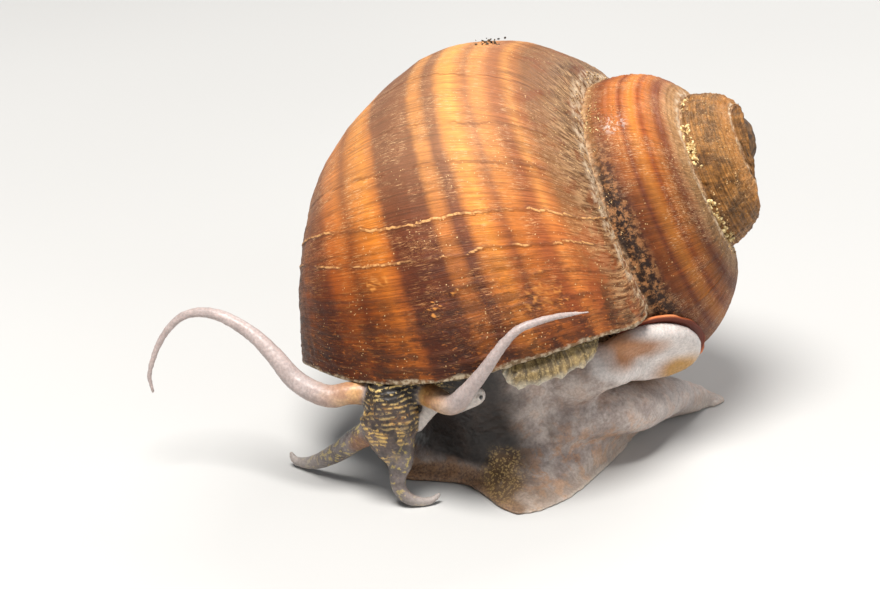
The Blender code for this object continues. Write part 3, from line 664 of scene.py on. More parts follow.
# How far the foot's back has risen (second row) at each share of the way in (first row).
FOOT_RISE = ((0.0, 0.03, 0.10, 0.30, 0.60, 0.85, 1.0), (0.0, 0.05, 0.20, 0.46, 0.80, 0.96, 1.0))
# The cushion's rings, from its root to the dish in its face: share of its size, and height.
LOBE_RINGS = ((0.4, -0.7), (0.85, -0.5), (0.97, -0.1), (1.0, 0.25), (0.99, 0.6), (0.95, 0.95),
              (0.86, 1.15), (0.7, 1.15), (0.5, 1.0), (0.25, 0.9))
# The collar's rings: turn behind the lip, and millimetres inside the shell.
COLLAR_RINGS = ((11.0, 1.5), (8.0, 1.15), (5.2, 1.05), (4.0, 1.3), (3.4, 2.0), (3.0, 3.5))
OPERCULUM_CENTRE = np.array((17.3, -3.7, 9.8))
OPERCULUM_FACE = unit(np.array((0.418, -0.77, -0.429)))
OPERCULUM_LONG = np.array((0.80, 0.58, -0.20))
OPERCULUM_LONG -= OPERCULUM_FACE * (OPERCULUM_LONG @ OPERCULUM_FACE)
OPERCULUM_LONG /= np.linalg.norm(OPERCULUM_LONG)
OPERCULUM_SHORT = np.cross(OPERCULUM_FACE, OPERCULUM_LONG)
OPERCULUM_HALF = (5.9, 4.9)
LOBE_HALF = (5.6, 3.62)
LOBE_SHIFT = 0.50  # of the cushion, back along the plate
LOWER_SHARE = 0.74  # the cushion's lower half is flatter than its upper half
PLATE_UPPER = 0.86  # how much of the plate's upper half stands clear of the shell
PLATE_LOWER = 0.54  # and of its lower half, clear of the cushion
# Where the plate is drawn in: how much, at which angle and over what spread.
PLATE_CUTS = ((0.06, 0.75, 0.55), (0.10, 2.75, 0.5))
SOLID_TURN = 9.0  # turn behind the lip's edge from which the shell counts as solid
PUSH_STEP = 0.12  # millimetres that the plate moves at a time when it is in the shell
RIM_REACH = 9.0  # distance from the sole's edge beyond which it isn't measured
ROW_PERIOD = 0.40  # from one row of marks on the neck to the next
# Size of the cubes that join the forms: foot and stem first, then all the flesh.
BODY_VOXEL = 0.45
VOXEL = 0.14
# Rounds of smoothing: foot and stem, then all the flesh, then its broad parts.
BODY_ROUNDS = 110
FINE_ROUNDS = 6
BROAD_ROUNDS = 30


def curve_through(stations, steps):
    """Points on a smooth curve (Catmull-Rom) through the stations."""
    rows = np.array([(*row, row[3]) if len(row) == 4 else row for row in stations], float)
    rows = np.concatenate([[2 * rows[0] - rows[1]], rows, [2 * rows[-1] - rows[-2]]])
    t = (np.arange(steps) / steps)[:, None]
    out = []
    for k in range(1, len(rows) - 2):
        p0, p1, p2, p3 = rows[k - 1:k + 3]
        out.append(0.5 * (2 * p1 + (p2 - p0) * t + (2 * p0 - 5 * p1 + 4 * p2 - p3) * t ** 2
                          + (3 * p1 - p0 - 3 * p2 + p3) * t ** 3))
    return np.concatenate(out + [rows[-2:-1]])


def sole_curve(steps):
    return curve_through(SOLE + (SOLE[0],), steps)


def closed_rings(rings):
    """Points and faces of a list of like rings, closed by a point at each end."""
    rings = np.asarray(rings)
    count = rings.shape[1]
    points = np.concatenate([rings.reshape(-1, 3), rings[0].mean(0)[None],
                             rings[-1].mean(0)[None]])
    faces = quads_between(len(rings), count).tolist()
    last = (len(rings) - 1) * count
    for i in range(count):
        j = (i + 1) % count
        faces.append((j, i, len(points) - 2))
        faces.append((last + i, last + j, len(points) - 1))
    return points, faces


def tube(stations, sides=28, steps=8, dome=True):
    """A closed tube with oval rings along a curve, and a domed far end."""
    rows = curve_through(stations, steps)
    line = rows[:, :3]
    along = np.gradient(line, axis=0)
    along /= np.linalg.norm(along, axis=1, keepdims=True)
    angles = circle(sides)
    depth = np.array((0.2, 1.0, 0.1))
    rings = []
    for k in range(len(rows)):
        depth = unit(depth - along[k] * (depth @ along[k]))
        across = np.cross(depth, along[k])
        rings.append(line[k] + np.cos(angles)[:, None] * across * rows[k, 3]
                     + np.sin(angles)[:, None] * depth * rows[k, 4])
    if dome:
        reach = rows[-1, 3:5].min()
        last = rings[-1] - line[-1]
        for turn in (0.35, 0.7, 1.05, 1.35):
            rings.append(line[-1] + along[-1] * reach * math.sin(turn) + last * math.cos(turn))
    return closed_rings(rings)


def foot_form():
    """The foot: a flat sole, a thin rim and a back that rises to its ridge."""
    outline = sole_curve(8)[:-1]
    ridge = curve_through(FOOT_RIDGE, 12)
    away = np.linalg.norm(outline[:, None] - ridge[None, :, :2], axis=2)
    target = ridge[away.argmin(axis=1)]
    for _ in range(10):
        target = (np.roll(target, 1, 0) + 2 * target + np.roll(target, -1, 0)) / 4
    rings = [np.column_stack([outline, np.zeros(len(outline))])]
    for share in np.linspace(0.0, 0.97, 26):
        flat = outline + (target[:, :2] - outline) * share
        height = SOLE_RIM + (target[:, 2] - SOLE_RIM) * np.interp(share, *FOOT_RISE)
        rings.append(np.column_stack([flat, height]))
    return closed_rings(rings)


def lobe_form():
    """The cushion that bears the operculum, with a shallow dish in its face."""
    rings = []
    angles = circle(72)
    lower = np.where(np.sin(angles) < 0, LOWER_SHARE, 1.0)
    for share, lift in LOBE_RINGS:
        rings.append(OPERCULUM_CENTRE - OPERCULUM_LONG * LOBE_SHIFT + OPERCULUM_FACE * lift
                     + np.cos(angles)[:, None] * OPERCULUM_LONG * LOBE_HALF[0] * share
                     + (np.sin(angles) * lower)[:, None] * OPERCULUM_SHORT * LOBE_HALF[1] * share)
    return closed_rings(rings)


def flap_form():
    """A pleated sheet of mantle with a thick, curled lower edge."""
    top = curve_through(FLAP_TOP, 14)
    edge = curve_through(FLAP_EDGE, 14)
    place = np.linspace(0.0, 1.0, len(top))
    outward = unit(np.array((0.15, -1.0, -0.1)))
    front, back = [], []
    for share in np.linspace(0.0, 1.0, 12):
        scallop = 1 - 0.16 * np.abs(np.sin(place * 16.0 + 1.2)) * share
        row = top + (edge - top) * (share * scallop)[:, None]
        bulge = 0.55 * math.sin(math.pi * share) + 0.25 * share
        pleat = 0.15 * np.sin(place * 46.0 + 2.6 * np.sin(place * 8.0) + 2 * share) * share ** 0.5
        pleat += 0.12 * noise_at(place * 17.0, share * 2, 0.0, 71)
        thick = 0.30 + 0.12 * ease(share, 0.7, 1.0)
        front.append(row + outward * (bulge + pleat + thick)[:, None])
        back.append(row + outward * (bulge + pleat - thick)[:, None])
    return closed_rings(np.array(front + back[::-1]).transpose(1, 0, 2))


def collar_form():
    """The mantle's front, which closes the aperture behind the lip."""
    psi = shell_angles()[::2]
    return closed_rings([spiral(lip_turn(psi) - back, psi, inset) for back, inset in COLLAR_RINGS])


def join_forms(forms):
    points, faces, offset = [], [], 0
    for form_points, form_faces in forms:
        points.append(form_points)
        faces += [tuple(i + offset for i in face) for face in form_faces]
        offset += len(form_points)
    return np.concatenate(points), faces


def joined(name, forms, size):
    """One closed mesh round overlapping forms, made of cubes of that size and then smoothed."""
    obj = mesh_object(name, *join_forms(forms), None)
    modifier = obj.modifiers.new("join", "REMESH")
    modifier.mode = "VOXEL"
    modifier.voxel_size = size * MM
    modifier.use_smooth_shade = True
    graph = bpy.context.evaluated_depsgraph_get()
    mesh = bpy.data.meshes.new_from_object(obj.evaluated_get(graph))
    obj.modifiers.clear()
    old = obj.data
    obj.data = mesh
    bpy.data.meshes.remove(old)
    return obj


def relax(points, edges, rounds, strength):
    """Moves every point towards the middle of its neighbours, a share of the way each round."""
    count = np.bincount(edges.ravel(), minlength=len(points)).astype(float)
    count = np.maximum(count, 1)
    for _ in range(rounds):
        total = np.zeros_like(points)
        for axis in range(3):
            total[:, axis] = (np.bincount(edges[:, 0], points[edges[:, 1], axis], len(points))
                              + np.bincount(edges[:, 1], points[edges[:, 0], axis], len(points)))
        points = points + (total / count[:, None] - points) * strength[:, None]
    return points


def from_segment(points, start, end):
    """Steps to points from the nearest place of a segment, and that place's share of the way."""
    step = end - start
    rel = points - start
    t = np.clip(rel @ step / (step @ step), 0, 1)
    rel -= t[:, None] * step
    return rel, t


def distance_to_line(points, stations, steps=4, reach=3.0):
    """Distance to a curve, over its half-width there, and how far along it the nearest place is.

    Points more than reach millimetres outside the curve's box are taken as far away.
    """
    rows = curve_through(stations, steps)
    pad = rows[:, 3].max() + reach
    low, high = rows[:, :3].min(0) - pad, rows[:, :3].max(0) + pad
    near = np.flatnonzero(((points > low) & (points < high)).all(axis=1))
    some = points[near]
    whole, whole_along = np.full(len(points), FAR), np.zeros(len(points))
    best, along = whole[near], whole_along[near]
    lengths = np.linalg.norm(np.diff(rows[:, :3], axis=0), axis=1)
    starts = np.concatenate([[0], np.cumsum(lengths)])
    for k in range(len(rows) - 1):
        rel, t = from_segment(some, rows[k, :3], rows[k + 1, :3])
        width = rows[k, 3] + (rows[k + 1, 3] - rows[k, 3]) * t
        share = np.sqrt(np.einsum("ij,ij->i", rel, rel)) / np.maximum(width, 0.05)
        better = share < best
        best[better] = share[better]
        along[better] = (starts[k] + t[better] * lengths[k]) / starts[-1]
    whole[near] = best
    whole_along[near] = along
    return whole, whole_along


def distance_to_edge(points, edge, width, reach=3.0):
    """The same for a line of points that has one width all along."""
    stations = np.column_stack([edge, np.full((len(edge), 2), width)])
    return distance_to_line(points, stations, 1, reach)


def body_form():
    """Foot and stem, run into each other so softly that no crease is left between them."""
    forms = [foot_form(), tube(STEM, 56, 6, False), tube(FOOT_BACK, 40, 6)]
    obj = joined("body", forms, BODY_VOXEL)
    points = points_of(obj)
    held = 1 - ease(points[:, 2], 0.5, 2.2)
    points = relax(points, edges_of(obj), BODY_ROUNDS, 0.62 * (1 - held))
    faces = [tuple(face.vertices) for face in obj.data.polygons]
    mesh = obj.data
    bpy.data.objects.remove(obj)
    bpy.data.meshes.remove(mesh)
    return points, faces


# Parts of the flesh whose skin differs, and the lines they follow.
ZONES = {
    "neck": (NECK,),
    "head": (HEAD,),
    "palp": (PALP_LEFT, PALP_RIGHT),
    "feeler": (FEELER_LEFT, FEELER_RIGHT),
    "stalk": (EYE_STALK_LEFT, EYE_STALK_RIGHT, WEB),
}


def plate_place(points):
    """Places along the operculum, across it (upwards) and out from its face."""
    rel = points - OPERCULUM_CENTRE
    return rel @ OPERCULUM_LONG, rel @ OPERCULUM_SHORT, rel @ OPERCULUM_FACE


def zone_distances(points):
    """How far each place is from each part of the flesh (1 at its skin), and how far along it."""
    shares, places = {}, {}
    for name, lines in ZONES.items():
        share = np.full(len(points), FAR)
        place = np.zeros(len(points))
        for line in lines:
            away, along = distance_to_line(points, line)
            better = away < share
            share[better], place[better] = away[better], along[better]
        shares[name], places[name] = share, place
    across, upward, lift = plate_place(points)
    upward = upward / np.where(upward < 0, LOWER_SHARE, 1.0)
    oval = np.hypot((across + LOBE_SHIFT) / LOBE_HALF[0], upward / LOBE_HALF[1])
    oval = oval + 2.0 * np.maximum(oval - 1.0, 0)
    shares["lobe"] = oval + 0.9 * ease(lift, 1.6, 3.0)
    places["lobe"] = oval
    flap = (curve_through(FLAP_TOP, 6) + curve_through(FLAP_EDGE, 6)) / 2
    shares["flap"], places["flap"] = distance_to_edge(points, flap, 1.3)
    stem_away, _ = distance_to_line(points, STEM)
    tall = np.where(points[:, 0] > 6.0, 8.0, 3.5)
    shares["body"] = np.minimum(stem_away, 1.0 + np.maximum(points[:, 2] - tall, 0) * 0.3)
    places["body"] = points[:, 2] / 12.0
    return shares, places


def zone_weights(points):
    """How much each place belongs to each part of the flesh, and how far along that part."""
    shares, places = zone_distances(points)
    names = list(shares)
    raw = np.stack([np.exp(-6.0 * np.maximum(shares[n] - 0.9, 0)) for n in names], -1)
    raw[:, names.index("body")] *= 0.25
    raw[:, names.index("neck")] *= 0.8
    weights = raw ** 2 / np.maximum((raw ** 2).sum(1, keepdims=True), 1e-9)
    return {n: weights[:, k] for k, n in enumerate(names)}, places


def rim_distance(points):
    """Distance in plan to the edge of the sole, for places close above the floor."""
    outline = sole_curve(5)
    rim = np.full(len(points), RIM_REACH)
    low = np.flatnonzero(points[:, 2] < 2.5)
    some = points[low, :2]
    best = rim[low]
    for start, end in zip(outline, outline[1:]):
        rel, _ = from_segment(some, start, end)
        best = np.minimum(best, np.hypot(rel[:, 0], rel[:, 1]))
    rim[low] = best + np.maximum(points[low, 2] - 1.0, 0) * 2.0
    return rim


def neck_rows(points):
    """1 along the rows of pale marks across the neck and snout, 0 between them."""
    bend = 0.22 * noise(points * 0.8, 86)
    level = points[:, 2] + 0.12 * np.abs(points[:, 0] + 2.6) + bend
    return ease(np.cos(level * 2 * math.pi / ROW_PERIOD), 0.0, 0.75)


def skin_relief(points, zone):
    """Warts, wrinkles and folds, in millimetres."""
    soft = zone["body"] + 0.6 * zone["lobe"]
    rough = 0.045 * layered(points * 1.5, 2, 81) + 0.020 * noise(points * 4.2, 82)
    warts = 0.035 * ease(cells(points * 2.1, 83), 0.45, 0.1)
    lift = soft * (rough + warts) + zone["head"] * (0.06 * noise(points * 2.0, 84)
                                                    + 0.03 * noise(points * 4.5, 85))
    lift = lift + zone["neck"] * (0.11 * neck_rows(points) + 0.03 * noise(points * 4.0, 87))
    lift = lift + (zone["feeler"] + zone["palp"]) * (0.022 * noise(points * 3.0, 88)
                                                     + 0.010 * noise(points * 6.5, 89))
    return lift + zone["flap"] * 0.03 * noise(points * 3.3, 90)


def paint_skin(obj, points, zone, places, edge):
    """Where each kind of skin, each mark on it and the painted shade and light lie."""
    x, y, z = points.T
    across, upward, lift = plate_place(points)
    root = ease(-upward - 0.15 * across, 1.4, 2.8)
    paint(obj, along=sum(zone[n] * places[n] for n in zone), rim=edge)
    paint(obj, **{**zone, "lobe": zone["lobe"] * (1 - 0.65 * root)})
    lip, _ = distance_to_line(points, FRONT_LIP, 3)
    corner = np.hypot((x - 5.0) / 1.8, (y + 10.4) / 2.7) + 0.25 * noise(points * 0.8, 95)
    flap_edge, _ = distance_to_edge(points, curve_through(FLAP_EDGE, 6), 0.5)
    # shade is painted shade under the shell, over some of the skin's own dark colour; tail is
    # painted light that makes the foot paler towards its tail.
    paint(obj, shade=ease(x + 0.25 * z, 12.5, 3.0) * ease(z, 0.7, 3.2),
          tail=ease(x, 14.5, 20.5), lip=1 - ease(lip, 1.0, 1.7),
          corner=(1 - ease(corner, 0.5, 1.25)) * (1 - ease(z, 2.5, 4.0)),
          row=neck_rows(points), flap_edge=1 - ease(flap_edge, 0.7, 2.2),
          mouth=1 - ease(np.linalg.norm(points - MOUTH, axis=1), 0.7, 2.0))
    spread = np.maximum(1 - np.hypot((across + 3.2) / 4.4, (upward - 1.5) / 2.0),
                        1 - np.hypot((across - 2.9) / 3.2, (upward + 0.9) / 2.3))
    # Painted shade in the fold under the cushion.
    slit = np.abs(upward + 2.85) + 0.35 * np.maximum(np.abs(across - 2.0) - 2.2, 0)
    paint(obj, ochre=ease(spread + 0.12 * noise(points * 0.8, 94), 0.0, 0.72),
          golden=ease(across, 0.5, 2.5),
          slit=(1 - ease(slit, 0.10, 0.60)) * ease(lift, 3.2, 2.2))


def build_skin(material):
    """All the flesh as one mesh, in which the mantle's flap is a body of its own."""
    lines = (SNOUT_SIDE, WEB, PALP_LEFT, PALP_RIGHT, FEELER_LEFT, FEELER_RIGHT, EYE_STALK_LEFT,
             EYE_STALK_RIGHT, FRONT_LIP, LOBE_ROOT, SADDLE)
    forms = [body_form(), tube(NECK, 36, 8, False), tube(HEAD, 36), *map(tube, lines),
             lobe_form(), flap_form(), collar_form()]
    obj = joined("skin", forms, VOXEL)
    points, edges = points_of(obj), edges_of(obj)
    zone, places = zone_weights(points)
    fine = zone["feeler"] + zone["palp"] + zone["stalk"] + zone["flap"]
    points = relax(points, edges, FINE_ROUNDS, np.full(len(points), 0.5))
    broad = np.clip(1 - 1.2 * fine, 0, 1)
    points = relax(points, edges, BROAD_ROUNDS, 0.6 * broad * ease(points[:, 2], 0.05, 1.2))
    set_points(obj, points)
    points = points + normals_of(obj) * skin_relief(points, zone)[:, None]
    edge = rim_distance(points)
    points[:, 2] *= 0.45 + 0.55 * ease(edge, 0.0, 1.8)
    points[:, 2] = np.maximum(points[:, 2], 0.0)
    set_points(obj, points)
    obj.data.materials.clear()
    obj.data.materials.append(material)
    paint_skin(obj, points, zone, places, edge)
    return obj


def push_out_of_shell(points, clearance):
    """Moves points that are in the solid shell, but not in its aperture, back out of it."""
    moved = points.copy()
    for _ in range(6):
        for whorl in (-1, 0):
            turn, psi, share = depth_in_whorl(moved, whorl)
            solid = turn < lip_turn(psi) - SOLID_TURN
            inside = solid & (share < 1 + clearance / (SECTION_SIZE * growth_at(turn)))
            moved[inside] += (OPERCULUM_FACE * PUSH_STEP)[None]
    return moved


def plate_rings(around, steps):
    """Rings of the plate's face, from its middle to its rim, and back over its far side."""
    angles = circle(around)
    cos, sin = np.cos(angles), np.sin(angles)
    wave = 1 + 0.014 * noise_at(cos * 4, sin * 4, 0.0, 91)
    for depth, angle, spread in PLATE_CUTS:
        wave -= depth * np.exp(-((angles - angle) / spread) ** 2)
    lower = np.where(sin < 0, PLATE_LOWER, PLATE_UPPER)
    shares = np.linspace(0.02, 1.0, steps) ** 0.9
    rings = []
    for far_side, order in ((0, shares), (1, shares[::-1])):
        for share in order:
            rim = ease(share, 0.8, 1.0)
            centre = OPERCULUM_CENTRE - OPERCULUM_LONG * 0.9 * (1 - share)
            flat = (centre + cos[:, None] * OPERCULUM_LONG * OPERCULUM_HALF[0]
                    * share * wave[:, None]
                    + (sin * lower * wave)[:, None] * OPERCULUM_SHORT * OPERCULUM_HALF[1] * share)
            lines = 0.035 * noise_at(share * 26.0, cos, sin, 92)
            crinkle = 0.13 * rim * noise_at(cos * 4.5, sin * 4.5, share * 2.0, 93)
            thick = 0.34 - 0.14 * ease(share, 0.6, 1.0)
            lift = -0.5 * (1 - share ** 2) + crinkle + lines - thick * far_side
            rings.append(flat + OPERCULUM_FACE * lift[:, None])
    return rings


def build_operculum(material):
    """The horny plate, with growth rings, a bowed face and a slightly crinkled rim."""
    points, faces = closed_rings(plate_rings(220, 46))
    points = push_out_of_shell(points, 0.05)
    obj = mesh_object("operculum_plate", points, faces, material)
    across, upward, _ = plate_place(points)
    upward = upward / np.where(upward < 0, PLATE_LOWER, PLATE_UPPER)
    paint(obj, oval=np.hypot(across / OPERCULUM_HALF[0], upward / OPERCULUM_HALF[1]))
    return obj


def build_eye(name, centre, facing, material):
    """A wet ball with a pale ring and a dark pupil that looks along facing."""
    facing = unit(np.array(facing))
    side = unit(np.cross(facing, (0, 0, 1.0)))
    up = np.cross(side, facing)
    angles = circle(40)
    rings = []
    for tilt in np.linspace(0.04, math.pi - 0.04, 26):
        swell = 1 + 0.10 * math.exp(-(tilt / 0.45) ** 2)
        rings.append(centre + EYE_RADIUS * swell
                     * (math.cos(tilt) * facing
                        + math.sin(tilt) * (np.cos(angles)[:, None] * side
                                            + np.sin(angles)[:, None] * up)))
    points, faces = closed_rings(rings)
    obj = mesh_object(name, points, faces, material)
    rel = points - centre
    paint(obj, tilt=np.arccos(np.clip(rel @ facing / np.linalg.norm(rel, axis=1), -1, 1)))
    return obj


# ---- grains

GOLDEN = (1 + 5 ** 0.5) / 2
# A ball of twenty faces.
BALL = np.array([(-1, GOLDEN, 0), (1, GOLDEN, 0), (-1, -GOLDEN, 0), (1, -GOLDEN, 0),
                 (0, -1, GOLDEN), (0, 1, GOLDEN), (0, -1, -GOLDEN), (0, 1, -GOLDEN),
                 (GOLDEN, 0, -1), (GOLDEN, 0, 1), (-GOLDEN, 0, -1), (-GOLDEN, 0, 1)], float)
BALL /= np.linalg.norm(BALL[0])
BALL_FACES = np.array([(0, 11, 5), (0, 5, 1), (0, 1, 7), (0, 7, 10), (0, 10, 11), (1, 5, 9),
                       (5, 11, 4), (11, 10, 2), (10, 7, 6), (7, 1, 8), (3, 9, 4), (3, 4, 2),
                       (3, 2, 6), (3, 6, 8), (3, 8, 9), (4, 9, 5), (2, 4, 11), (6, 2, 10),
                       (8, 6, 7), (9, 8, 1)])
FLATNESS = 0.8
# Where dirt gathers: from and to by growth angle and by psi, count, least and largest size.
GRIT = ((-300.0, 86.0, 87.0, 98.0, 2600, 0.035, 0.11),
        (-400.0, -245.0, -8.0, 10.0, 1300, 0.03, 0.09),
        (-900.0, -560.0, -6.0, 16.0, 900, 0.04, 0.12),
        (-760.0, -540.0, 10.0, 86.0, 700, 0.025, 0.07),
        (-540.0, -245.0, 66.0, 88.0, 700, 0.025, 0.07),
        (-340.0, -318.0, 16.0, 36.0, 220, 0.02, 0.06))
LUMPS = ((-684.0, -648.0, 2.0, 14.0, 420, 0.07, 0.22),
         (-622.0, -574.0, 1.0, 11.0, 520, 0.07, 0.22),
         (-900.0, -700.0, 0.0, 12.0, 300, 0.06, 0.18),
         (-345.0, -322.0, 2.0, 16.0, 120, 0.05, 0.11))
TUFT = (-14.0, 38.0)  # growth angle and psi
TUFT_COUNT = 60


def grains(name, places, sizes, seed, material):
    """Small rough lumps of dirt, each a squashed and turned ball of a few faces."""
    rng = np.random.default_rng(seed)
    count, corners = len(places), len(BALL)
    turn, _ = np.linalg.qr(rng.normal(size=(count, 3, 3)))
    stretch = rng.uniform(0.55, 1.25, size=(count, 1, 3)) * (1, 1, FLATNESS)
    lumpy = rng.uniform(0.8, 1.15, size=(count, corners, 1))
    lumps = BALL[None] * lumpy * stretch * np.asarray(sizes)[:, None, None]
    points = (np.einsum("nij,nkj->nki", turn, lumps) + places[:, None]).reshape(-1, 3)
    faces = (BALL_FACES[None] + corners * np.arange(count)[:, None, None]).reshape(-1, 3)
    obj = grid_mesh(name, points, faces, material)
    paint(obj, tone=np.repeat(rng.uniform(0, 1, count), corners))
    return obj


def dirt_places(patches, seed):
    """Random places on the shell's outside within the patches, and a size for each."""
    rng = np.random.default_rng(seed)
    places, sizes = [], []
    for low, high, near, far, count, small, large in patches:
        grow = rng.uniform(low, high, count)
        psi = rng.uniform(near, far, count)
        thick = noise_at(grow / 3.0, psi / 3.0, 0.0, seed) > rng.uniform(-0.5, 0.5, count)
        turn = turn_at(grow, psi)
        points = spiral(turn, psi)
        open_air = np.ones(count, bool)
        for step in (-1, 1):
            other, angle, share = depth_in_whorl(points, whorl_of(points, turn) + step)
            open_air &= (share > 0.99) | (other > lip_turn(angle))
        kept = open_air & thick & ((points - WEAR_POINT) @ WEAR_NORMAL < -0.1)
        places.append(points[kept])
        sizes.append(rng.uniform(small, large, count)[kept] * rng.uniform(0.6, 1.0, kept.sum()))
    return np.concatenate(places), np.concatenate(sizes)


# ---- materials

def srgb(*colour):
    """Linear colour from the 0 to 255 numbers a picture shows."""
    c = np.array(colour, float) / 255
    linear = np.where(c <= 0.04045, c / 12.92, ((c + 0.055) / 1.055) ** 2.4)
    return (*[float(x) for x in linear], 1.0)


class Paints:
    """A material's node tree, with one short call for each kind of node."""

    def __init__(self, name):
        self.material = bpy.data.materials.new(name)
        self.material.use_nodes = True
        self.tree = self.material.node_tree
        self.shader = self.tree.nodes["Principled BSDF"]
        self.place = self.tree.nodes.new("ShaderNodeTexCoord").outputs["Object"]

    def put(self, socket, value):
        if isinstance(value, bpy.types.NodeSocket):
            self.tree.links.new(value, socket)
        else:
            socket.default_value = value

    def node(self, kind, *values, **settings):
        """A new node; values are for its first sockets, or for named ones as (name, value)."""
        node = self.tree.nodes.new("ShaderNode" + kind)
        for name, setting in settings.items():
            setattr(node, name, setting)
        for k, value in enumerate(values):
            name, value = value if isinstance(value, tuple) else (k, value)
            self.put(node.inputs[name], value)
        return node

    def attribute(self, name):
        return self.node("Attribute", attribute_name=name).outputs["Fac"]

    def near(self, point, radius):
        """1 at a point and 0 from a radius away, both in millimetres."""
        node = self.node("VectorMath", self.place, operation="DISTANCE")
        node.inputs[1].default_value = tuple(to_world(point))
        return self.range(node.outputs["Value"], radius * MM, 0.2 * radius * MM)

    def height(self):
        """Metres above the floor."""
        return self.node("SeparateXYZ", self.place).outputs["Z"]

    def math(self, kind, a, b=0.0):
        return self.node("Math", a, b, operation=kind).outputs[0]

    def plus(self, a, b):
        return self.math("ADD", a, b)

    def times(self, *values):
        """The product of two or more."""
        total = values[0]
        for value in values[1:]:
            total = self.math("MULTIPLY", total, value)
        return total

    def centred(self, value, size):
        """Noise, whose middle is a half, brought round 0 and made so many times as large."""
        return self.times(self.math("SUBTRACT", value, 0.5), size)

    def vector(self, x, y, z=0.0):
        return self.node("CombineXYZ", x, y, z).outputs[0]

    def noise(self, scale=1.0, detail=3.0, rough=0.55, at=None):
        return self.node("TexNoise", ("Vector", at or self.place), ("Scale", scale),
                         ("Detail", detail), ("Roughness", rough)).outputs["Fac"]

    def cells(self, scale, at=None):
        return self.node("TexVoronoi", ("Vector", at or self.place),
                         ("Scale", scale)).outputs["Distance"]

    def stirred(self, scale, reach):
        """The place moved about by noise, so that what is drawn there gets a ragged outline."""
        colour = self.node("TexNoise", self.place, ("Scale", scale)).outputs["Color"]
        node = self.node("VectorMath", colour, operation="MULTIPLY_ADD")
        node.inputs[1].default_value = (reach * MM,) * 3
        self.put(node.inputs[2], self.place)
        return node.outputs[0]

    def range(self, value, low, high, to_low=0.0, to_high=1.0):
        """to_low up to low, to_high from high on and smooth between; low may be the larger."""
        return self.node("MapRange", ("Value", value), ("From Min", low), ("From Max", high),
                         ("To Min", to_low), ("To Max", to_high),
                         interpolation_type="SMOOTHSTEP").outputs["Result"]

    def ramp(self, value, stops):
        """Colours along a value; stops are (place from 0 to 1, red, green, blue)."""
        node = self.node("ValToRGB", value)
        elements = node.color_ramp.elements
        while len(elements) > 1:
            elements.remove(elements[-1])
        elements[0].position = stops[0][0]
        elements[0].color = srgb(*stops[0][1:])
        for place, *colour in stops[1:]:
            elements.new(place).color = srgb(*colour)
        return node.outputs[0]

    def mix(self, share, a, b, kind="MIX"):
        node = self.node("Mix", data_type="RGBA", blend_type=kind, clamp_factor=True)
        self.put(node.inputs["Factor"], share)
        colours = [s for s in node.inputs if s.type == "RGBA"]
        for socket, value in zip(colours, (a, b)):
            self.put(socket, srgb(*value) if isinstance(value, tuple) else value)
        return [s for s in node.outputs if s.type == "RGBA"][0]

    def tint(self, colour, by):
        return self.mix(1.0, colour, by, "MULTIPLY")

    def shaded(self, colour, value):
        """A colour made darker or lighter by a number."""
        return self.tint(colour, self.vector(value, value, value))

    def two_tone(self, value, low, high, dark, light):
        """One colour where a value is low and another where it is high."""
        return self.mix(self.range(value, low, high), dark, light)

    def bump(self, height, depth, strength=1.0, under=None):
        """Fine relief; depth is in millimetres."""
        node = self.node("Bump", ("Height", height), ("Distance", depth * MM),
                         ("Strength", strength))
        if under:
            self.put(node.inputs["Normal"], under)
        return node.outputs[0]

    def finish(self, colour, roughness, normal=None, **sockets):
        self.put(self.shader.inputs["Base Color"], colour)
        self.put(self.shader.inputs["Roughness"], roughness)
        if normal:
            self.put(self.shader.inputs["Normal"], normal)
        for name, value in sockets.items():
            self.shader.inputs[name.replace("_", " ")].default_value = value
        return self.material


# Psi and colour on the last whorl, from the base to the suture.
BAND_COLOURS = (
    (-88, 120, 92, 60), (-72, 128, 92, 54), (-60, 112, 70, 34), (-54, 124, 78, 40),
    (-47, 146, 86, 38), (-41, 126, 71, 38), (-34, 134, 74, 38), (-30, 184, 108, 50),
    (-24, 200, 122, 56), (-20, 146, 84, 42), (-16, 200, 126, 56), (-10, 222, 143, 56),
    (-6.5, 190, 116, 54), (-4.5, 115, 65, 42), (0, 105, 59, 40), (5, 112, 64, 42),
    (10.5, 114, 66, 40), (13, 190, 126, 64), (16.5, 190, 124, 62), (19.5, 116, 68, 42),
    (22.5, 130, 78, 46), (26, 218, 146, 66), (31, 228, 158, 70), (34.5, 196, 124, 58),
    (38, 156, 94, 50), (41, 200, 128, 58), (45, 204, 130, 62), (50, 164, 98, 56),
    (53.5, 168, 102, 60), (58, 222, 152, 84), (62, 192, 124, 72), (67, 156, 106, 66))
# The same for the whorl before it.
UPPER_COLOURS = (
    (-4, 196, 150, 104), (1, 202, 162, 112), (6, 186, 146, 92), (10, 166, 112, 62),
    (16, 154, 90, 46), (22, 178, 106, 48), (26, 194, 118, 46), (29.5, 206, 130, 56),
    (33.5, 152, 80, 36), (37, 194, 118, 44), (42, 226, 148, 54), (46, 222, 138, 50),
    (50, 168, 88, 30), (54, 202, 122, 46), (58, 196, 124, 50), (62, 166, 100, 44),
    (66, 136, 74, 36), (70, 162, 98, 52), (74, 194, 142, 86), (78, 180, 136, 80),
    (82, 206, 162, 100), (88, 214, 172, 112))
PSI_LOW, PSI_SPAN = -90.0, 200.0
# Painted shade: what the last whorl's colours are multiplied by on the way to the lip.
LIPWARD_SHADE = (
    (0.0, 255, 255, 255), (0.48, 250, 244, 236), (0.60, 244, 228, 208), (0.68, 234, 210, 184),
    (0.80, 201, 173, 146), (0.92, 168, 142, 118), (1.0, 156, 131, 108))
LIPWARD_LOW, LIPWARD_SPAN = -10.0, 100.0
FLUFF = (-329.0, 27.0)  # growth angle and psi


